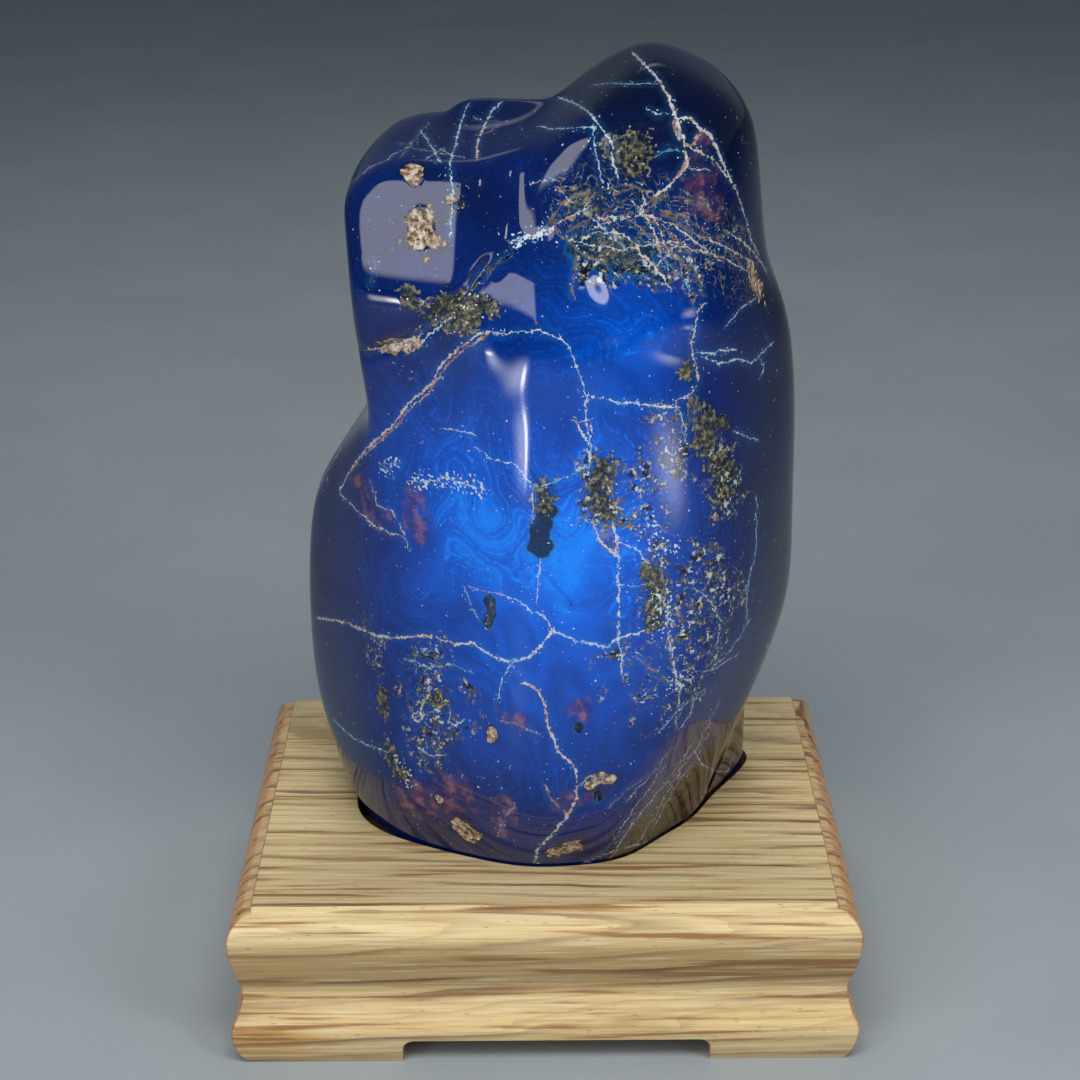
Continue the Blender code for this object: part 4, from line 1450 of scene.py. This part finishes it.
@dataclass
class AmberStone:
    """The polished stone with its markings, grooves and pits."""

    form: StoneForm
    camera: PhotoCamera
    finish: AmberFinish
    counts: tuple[int, int, int] = (132, 60, 216)
    shape: tuple[float, float, float] = (0.62, 0.42, 1.0)
    highest: float = CAD_BOX[1][2] / MM

    def painted_glow_and_shade(self, points: np.ndarray) -> np.ndarray:
        """Painted light and shade on the blue: bright on the belly, shaded at edges, tops and the right."""
        x, y, z = points.T
        # Painted light: a bright pool on the belly and a lesser one higher up; painted shade on the peak's top.
        belly = 0.60 * np.exp(-(np.abs(x + 3.0) / 46.0) ** 2.6 - (np.abs(z - 136.0) / 52.0) ** 2.4)
        upper = 0.24 * np.exp(-((x - 20.0) / 22.0) ** 2 - ((z - 198.0) / 20.0) ** 2)
        peak = 0.16 / (1.0 + np.exp(-(z - 232.0) / 6.0)) / (1.0 + np.exp(-(x - 8.0) / 5.0))
        # Painted shade: darker where the surface turns to the sides, most on the right.
        painted_facing_shade = np.clip(0.64 + np.abs(y) / 110.0, 0.64, 1.0) * np.clip(1.0 - (x - 30.0) / 90.0, 0.6, 1.0)
        return np.clip((0.29 + belly + upper - peak) * painted_facing_shade, 0.04, 1.0)

    def build(self) -> bpy.types.Object:
        """Build the stone and store its markings as attributes."""
        points, quads = self.form.skin(self.counts, self.shape)
        stone = mesh_object("polished_amber", points, quads)
        points, normals = points_and_normals(stone.data)
        marks = Markings(points, normals, quads, self.camera, self.finish.slots)
        veins = marks.vein_slots(VEINS)
        channels, sunk, grains = marks.patch_channels(PATCHES)
        sunk += marks.groove_depth(GROOVES)
        points = points - normals * sunk[:, None]
        points[:, 2] = np.minimum(points[:, 2], self.highest)
        stone.data.vertices.foreach_set("co", (points * MM).ravel())
        stone.data.update()
        channels["flow"] = FlowFolds().channels(points)
        for slot in range(self.finish.slots):
            channels[f"vein_{slot}"] = veins[slot]
        for name, values in channels.items():
            layer = stone.data.attributes.new(name, "FLOAT_COLOR", "POINT")
            layer.data.foreach_set("color", values.ravel().astype(np.float32))
        # Stores the painted light and shade of the blue, and the grains' density.
        for name, values in (("painted_glow_and_shade", self.painted_glow_and_shade(points)), ("crust", grains)):
            layer = stone.data.attributes.new(name, "FLOAT", "POINT")
            layer.data.foreach_set("value", values.astype(np.float32))
        stone.data.materials.append(self.finish.build())
        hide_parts("amber")
        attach(stone, "root")
        log.info("stone: %d quads, %d veins, %d patches", len(quads), len(VEINS), len(PATCHES))
        return stone


@dataclass(frozen=True)
class PitGrains:
    """Mineral grains scattered in the stone's crusted pits by a Geometry Nodes tree."""

    finish: CrustFinish
    each_square_mm: float = 1.9
    smallest: float = 0.16
    largest: float = 0.50
    bury: float = 0.25

    def tree(self, material: bpy.types.Material) -> bpy.types.NodeTree:
        """Build the scatter tree.

        Args:
            material: Finish of the grains.

        Returns:
            The tree, with named inputs for its sizes.
        """
        tree = bpy.data.node_groups.new("pit_grains", "GeometryNodeTree")
        tree.interface.new_socket("Geometry", in_out="INPUT", socket_type="NodeSocketGeometry")
        for name in ("Density", "Smallest", "Largest", "Bury"):
            tree.interface.new_socket(name, in_out="INPUT", socket_type="NodeSocketFloat")
        tree.interface.new_socket("Geometry", in_out="OUTPUT", socket_type="NodeSocketGeometry")
        graph = Graph(tree)
        given = graph.node("NodeGroupInput").outputs
        crust = graph.node("GeometryNodeInputNamedAttribute", {"Name": "crust"}, data_type="FLOAT")
        place = graph.node("GeometryNodeInputPosition").outputs[0]
        islands = graph.step(graph.noise(place, 420.0, 3.0), 0.42, 0.58)
        density = graph.math("MULTIPLY", graph.math("MULTIPLY", crust.outputs["Attribute"], islands),
                             given["Density"])
        spots = graph.node("GeometryNodeDistributePointsOnFaces", {
            "Mesh": given["Geometry"], "Density": density, "Seed": SEED})
        inward = graph.scaled(spots.outputs["Normal"], graph.math("MULTIPLY", given["Bury"], -1.0))
        sunk = graph.node("GeometryNodeSetPosition", {"Geometry": spots.outputs["Points"],
                                                      "Offset": inward})
        ball = graph.node("GeometryNodeMeshIcoSphere", {"Radius": 1.0, "Subdivisions": 2})
        dent = graph.wander(place, 1.3, 0.9)
        grain = graph.node("GeometryNodeSetPosition", {"Geometry": ball.outputs["Mesh"], "Offset": dent})
        turn = graph.node("FunctionNodeRandomValue", {
            "Min": (0.0, 0.0, 0.0), "Max": (math.tau, math.tau, math.tau), "Seed": SEED + 1},
            data_type="FLOAT_VECTOR")
        size = graph.node("FunctionNodeRandomValue", {
            "Min": (0.7, 0.7, 0.5), "Max": (1.2, 1.2, 1.0), "Seed": SEED + 2}, data_type="FLOAT_VECTOR")
        scale = graph.node("FunctionNodeRandomValue", {2: given["Smallest"], 3: given["Largest"],
                                                       "Seed": SEED + 3}, data_type="FLOAT")
        sizes = graph.scaled(size.outputs[0], scale.outputs[1])
        placed = graph.node("GeometryNodeInstanceOnPoints", {
            "Points": sunk.outputs["Geometry"], "Instance": grain.outputs["Geometry"],
            "Rotation": turn.outputs[0], "Scale": sizes})
        chance = graph.node("FunctionNodeRandomValue", {2: 0.0, 3: 1.0, "Seed": SEED + 4},
                            data_type="FLOAT")
        tinted = graph.node("GeometryNodeStoreNamedAttribute", {
            "Geometry": placed.outputs["Instances"], "Name": "tint", "Value": chance.outputs[1]},
            data_type="FLOAT", domain="INSTANCE")
        solid = graph.node("GeometryNodeRealizeInstances", (tinted.outputs["Geometry"],))
        dressed = graph.node("GeometryNodeSetMaterial", {"Geometry": solid.outputs["Geometry"],
                                                         "Material": material})
        result = graph.node("NodeGroupOutput")
        tree.links.new(dressed.outputs["Geometry"], result.inputs["Geometry"])
        return tree

    def build(self, stone: bpy.types.Object) -> bpy.types.Object:
        """Scatter the grains over the stone's pits.

        Args:
            stone: The finished stone, whose crust attribute says where grains sit.

        Returns:
            The grains as one plain mesh.
        """
        material = self.finish.build()
        grains = bpy.data.objects.new("pit_grains", stone.data.copy())
        bpy.context.scene.collection.objects.link(grains)
        scatter = grains.modifiers.new("scatter", "NODES")
        scatter.node_group = self.tree(material)
        values = {"Density": self.each_square_mm / MM ** 2, "Smallest": self.smallest * MM,
                  "Largest": self.largest * MM, "Bury": self.bury * MM}
        for item in scatter.node_group.interface.items_tree:
            if item.in_out == "INPUT" and item.name in values:
                scatter[item.identifier] = values[item.name]
        settle(grains)
        for name in [layer.name for layer in grains.data.attributes]:
            if name.startswith(("vein_", "patch_", "flow", "painted_glow_and_shade", "crust")):
                grains.data.attributes.remove(grains.data.attributes[name])
        grains.data.materials.clear()
        grains.data.materials.append(material)
        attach(grains, "root")
        log.info("grains: %d faces", len(grains.data.polygons))
        return grains


# The stand


@dataclass
class WoodenStand:
    """The moulded block, its recess and the two ways under it."""

    form: StoneForm
    finish: WoodFinish
    low: Vector
    high: Vector
    recess_floor: float
    overhang: float = 6.5
    corner: float = 0.7
    corner_steps: int = 4
    profile: tuple = (
        (0.0, 0.0), (0.35, 0.35), (0.5, 1.6), (2.5, 1.9), (4.4, 3.1), (5.8, 4.9), (6.5, 7.2), (6.5, 9.6),
        (6.1, 13.0), (5.2, 17.0), (4.1, 20.6), (3.5, 22.7), (3.4, 24.2), (3.7, 27.0), (4.6, 30.4),
        (5.8, 33.0), (6.5, 34.9), (6.5, 36.4), (6.0, 39.4), (5.0, 42.6), (3.7, 45.2), (3.2, 46.0))
    curve_from: int = 3
    arch_height: float = 8.0
    arch_round: float = 3.0
    front_arch: tuple[float, float] = (-38.5, 44.5)
    side_arch: tuple[float, float] = (-33.0, 33.0)
    recess_gap: float = 0.55
    gaping: tuple = ((-72.0, 17.0, 1.8), (110.0, 14.0, 0.9))
    recess_steps: int = 192
    edge_round: float = 0.45

    def curve(self) -> np.ndarray:
        """Edge profile, its moulding drawn as one smooth curve through the given points."""
        given = np.array(self.profile)
        keys = given[self.curve_from:]
        before = np.vstack((2 * keys[0] - keys[1], keys[:-1]))
        after = np.vstack((keys[1:], 2 * keys[-1] - keys[-2]))
        slopes = (after - before) / 2
        rows = [given[:self.curve_from]]
        for index in range(len(keys) - 1):
            t = np.linspace(0, 1, 3, endpoint=False)[:, None]
            rows.append((2 * t ** 3 - 3 * t ** 2 + 1) * keys[index] + (t ** 3 - 2 * t ** 2 + t) * slopes[index]
                        + (3 * t ** 2 - 2 * t ** 3) * keys[index + 1] + (t ** 3 - t ** 2) * slopes[index + 1])
        rows.append(keys[-1:])
        curve = np.vstack(rows)
        return np.column_stack((np.minimum(curve[:, 0], self.overhang), curve[:, 1]))

    def block(self) -> bpy.types.Object:
        """The block lofted down its edge profile, with small rounds at its upright edges."""
        half = (np.array(self.high[:2]) - np.array(self.low[:2])) / 2 / MM - self.overhang
        turns = np.radians(np.arange(self.corner_steps + 1) * 90.0 / self.corner_steps)
        rings = []
        for out, down in self.curve():
            ring = []
            for quarter, (sx, sy) in enumerate(((1, 1), (-1, 1), (-1, -1), (1, -1))):
                centre = np.array((sx, sy)) * (half + out - self.corner)
                for turn in turns + quarter * math.pi / 2:
                    ring.append((*(centre + self.corner * np.array((math.cos(turn), math.sin(turn)))),
                                 self.high.z / MM - down))
            rings.append(ring)
        count = len(rings[0])
        bm = bmesh.new()
        verts = [[bm.verts.new(Vector(point) * MM) for point in ring] for ring in rings]
        for upper, lower in zip(verts, verts[1:]):
            for one in range(count):
                other = (one + 1) % count
                bm.faces.new((upper[one], lower[one], lower[other], upper[other]))
        bm.faces.new(verts[0])
        bm.faces.new(list(reversed(verts[-1])))
        bmesh.ops.recalc_face_normals(bm, faces=bm.faces)
        return self.as_object(bm, "moulded_stand")

    def as_object(self, bm: bmesh.types.BMesh, name: str) -> bpy.types.Object:
        """Turn a bmesh into an object of the scene."""
        mesh = bpy.data.meshes.new(name)
        bm.to_mesh(mesh)
        bm.free()
        obj = bpy.data.objects.new(name, mesh)
        bpy.context.scene.collection.objects.link(obj)
        return obj

    def way_cutter(self, low: float, high: float, turned: bool) -> bpy.types.Object:
        """A round-edged bar that cuts a way under the stand.

        Args:
            low: Side of the way.
            high: Its other side.
            turned: True for the way from side to side.

        Returns:
            The bar.
        """
        outline = [(low, -6.0), (high, -6.0)]
        for centre, start in ((high - self.arch_round, 0.0), (low + self.arch_round, 90.0)):
            for turn in np.radians(start + np.linspace(0.0, 90.0, 9)):
                outline.append((centre + self.arch_round * math.cos(turn),
                                self.arch_height - self.arch_round * (1.0 - math.sin(turn))))
        bm = bmesh.new()
        ends = []
        for reach in (-130.0, 130.0):
            points = [(reach, a, b) if turned else (a, reach, b) for a, b in outline]
            ends.append([bm.verts.new(Vector(point) * MM) for point in points])
        count = len(outline)
        for one in range(count):
            other = (one + 1) % count
            bm.faces.new((ends[0][one], ends[0][other], ends[1][other], ends[1][one]))
        bm.faces.new(ends[0])
        bm.faces.new(list(reversed(ends[1])))
        bmesh.ops.recalc_face_normals(bm, faces=bm.faces)
        return self.as_object(bm, "way_cutter")

    def recess_cutter(self) -> bpy.types.Object:
        """The stone's outline at the top face, widened by the gap and drawn down."""
        degrees = np.arange(self.recess_steps) * 360.0 / self.recess_steps
        gap = np.full(self.recess_steps, self.recess_gap)
        for azimuth, spread, extra in self.gaping:
            turn = (degrees - azimuth + 180.0) % 360.0 - 180.0
            gap += extra * np.exp(-(turn / spread) ** 2)
        reach = self.form.rim(self.recess_steps, (0.0, 3.0, 6.0, 9.0)) + gap
        angles = np.radians(degrees)
        rim = np.stack((np.sin(angles) * reach, -np.cos(angles) * reach), 1)
        bm = bmesh.new()
        top = [bm.verts.new(Vector((x, y, self.high.z / MM + 5.0)) * MM) for x, y in rim]
        foot = [bm.verts.new(Vector((x, y, self.recess_floor)) * MM) for x, y in rim]
        for one in range(self.recess_steps):
            other = (one + 1) % self.recess_steps
            bm.faces.new((top[one], top[other], foot[other], foot[one]))
        bm.faces.new(top)
        bm.faces.new(list(reversed(foot)))
        bmesh.ops.recalc_face_normals(bm, faces=bm.faces)
        return self.as_object(bm, "recess_cutter")

    def build(self) -> bpy.types.Object:
        """Build the stand, cut it and soften its edges."""
        stand = self.block()
        cutters = (self.recess_cutter(), self.way_cutter(*self.front_arch, False),
                   self.way_cutter(*self.side_arch, True))
        for cutter in cutters:
            cut = stand.modifiers.new("cut", "BOOLEAN")
            cut.operation, cut.solver, cut.object = "DIFFERENCE", "EXACT", cutter
        bevel = stand.modifiers.new("edges", "BEVEL")
        bevel.width, bevel.segments = self.edge_round * MM, 3
        bevel.limit_method, bevel.angle_limit = "ANGLE", math.radians(50.0)
        settle(stand)
        for cutter in cutters:
            bpy.data.objects.remove(cutter)
        bm = bmesh.new()
        bm.from_mesh(stand.data)
        for face in bm.faces:
            face.smooth = True
        for edge in bm.edges:
            edge.smooth = edge.calc_face_angle(0.0) < math.radians(28.0)
        bm.to_mesh(stand.data)
        bm.free()
        stand.data.materials.clear()
        stand.data.materials.append(self.finish.build())
        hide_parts("stand")
        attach(stand, "root")
        log.info("stand: %d faces", len(stand.data.polygons))
        return stand


def corners(box: tuple) -> list[list[float]]:
    """A box's two corners as plain lists."""
    return [[float(value) for value in corner] for corner in box]


def main() -> None:
    """Build the studio, the stone with its grains, and the stand."""
    logging.basicConfig(level=logging.INFO, format="%(name)s: %(message)s")
    low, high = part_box("stand")
    stone_low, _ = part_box("amber")
    camera = PhotoCamera()
    camera.build()
    Studio().build()
    form = StoneForm(high.z / MM)
    effects = SharedEffects.build()
    stone = AmberStone(form, camera, AmberFinish(effects, 6)).build()
    PitGrains(CrustFinish()).build(stone)
    WoodenStand(form, WoodFinish(effects), low, high, stone_low.z / MM - 0.3).build()


if __name__ == "__main__":
    main()
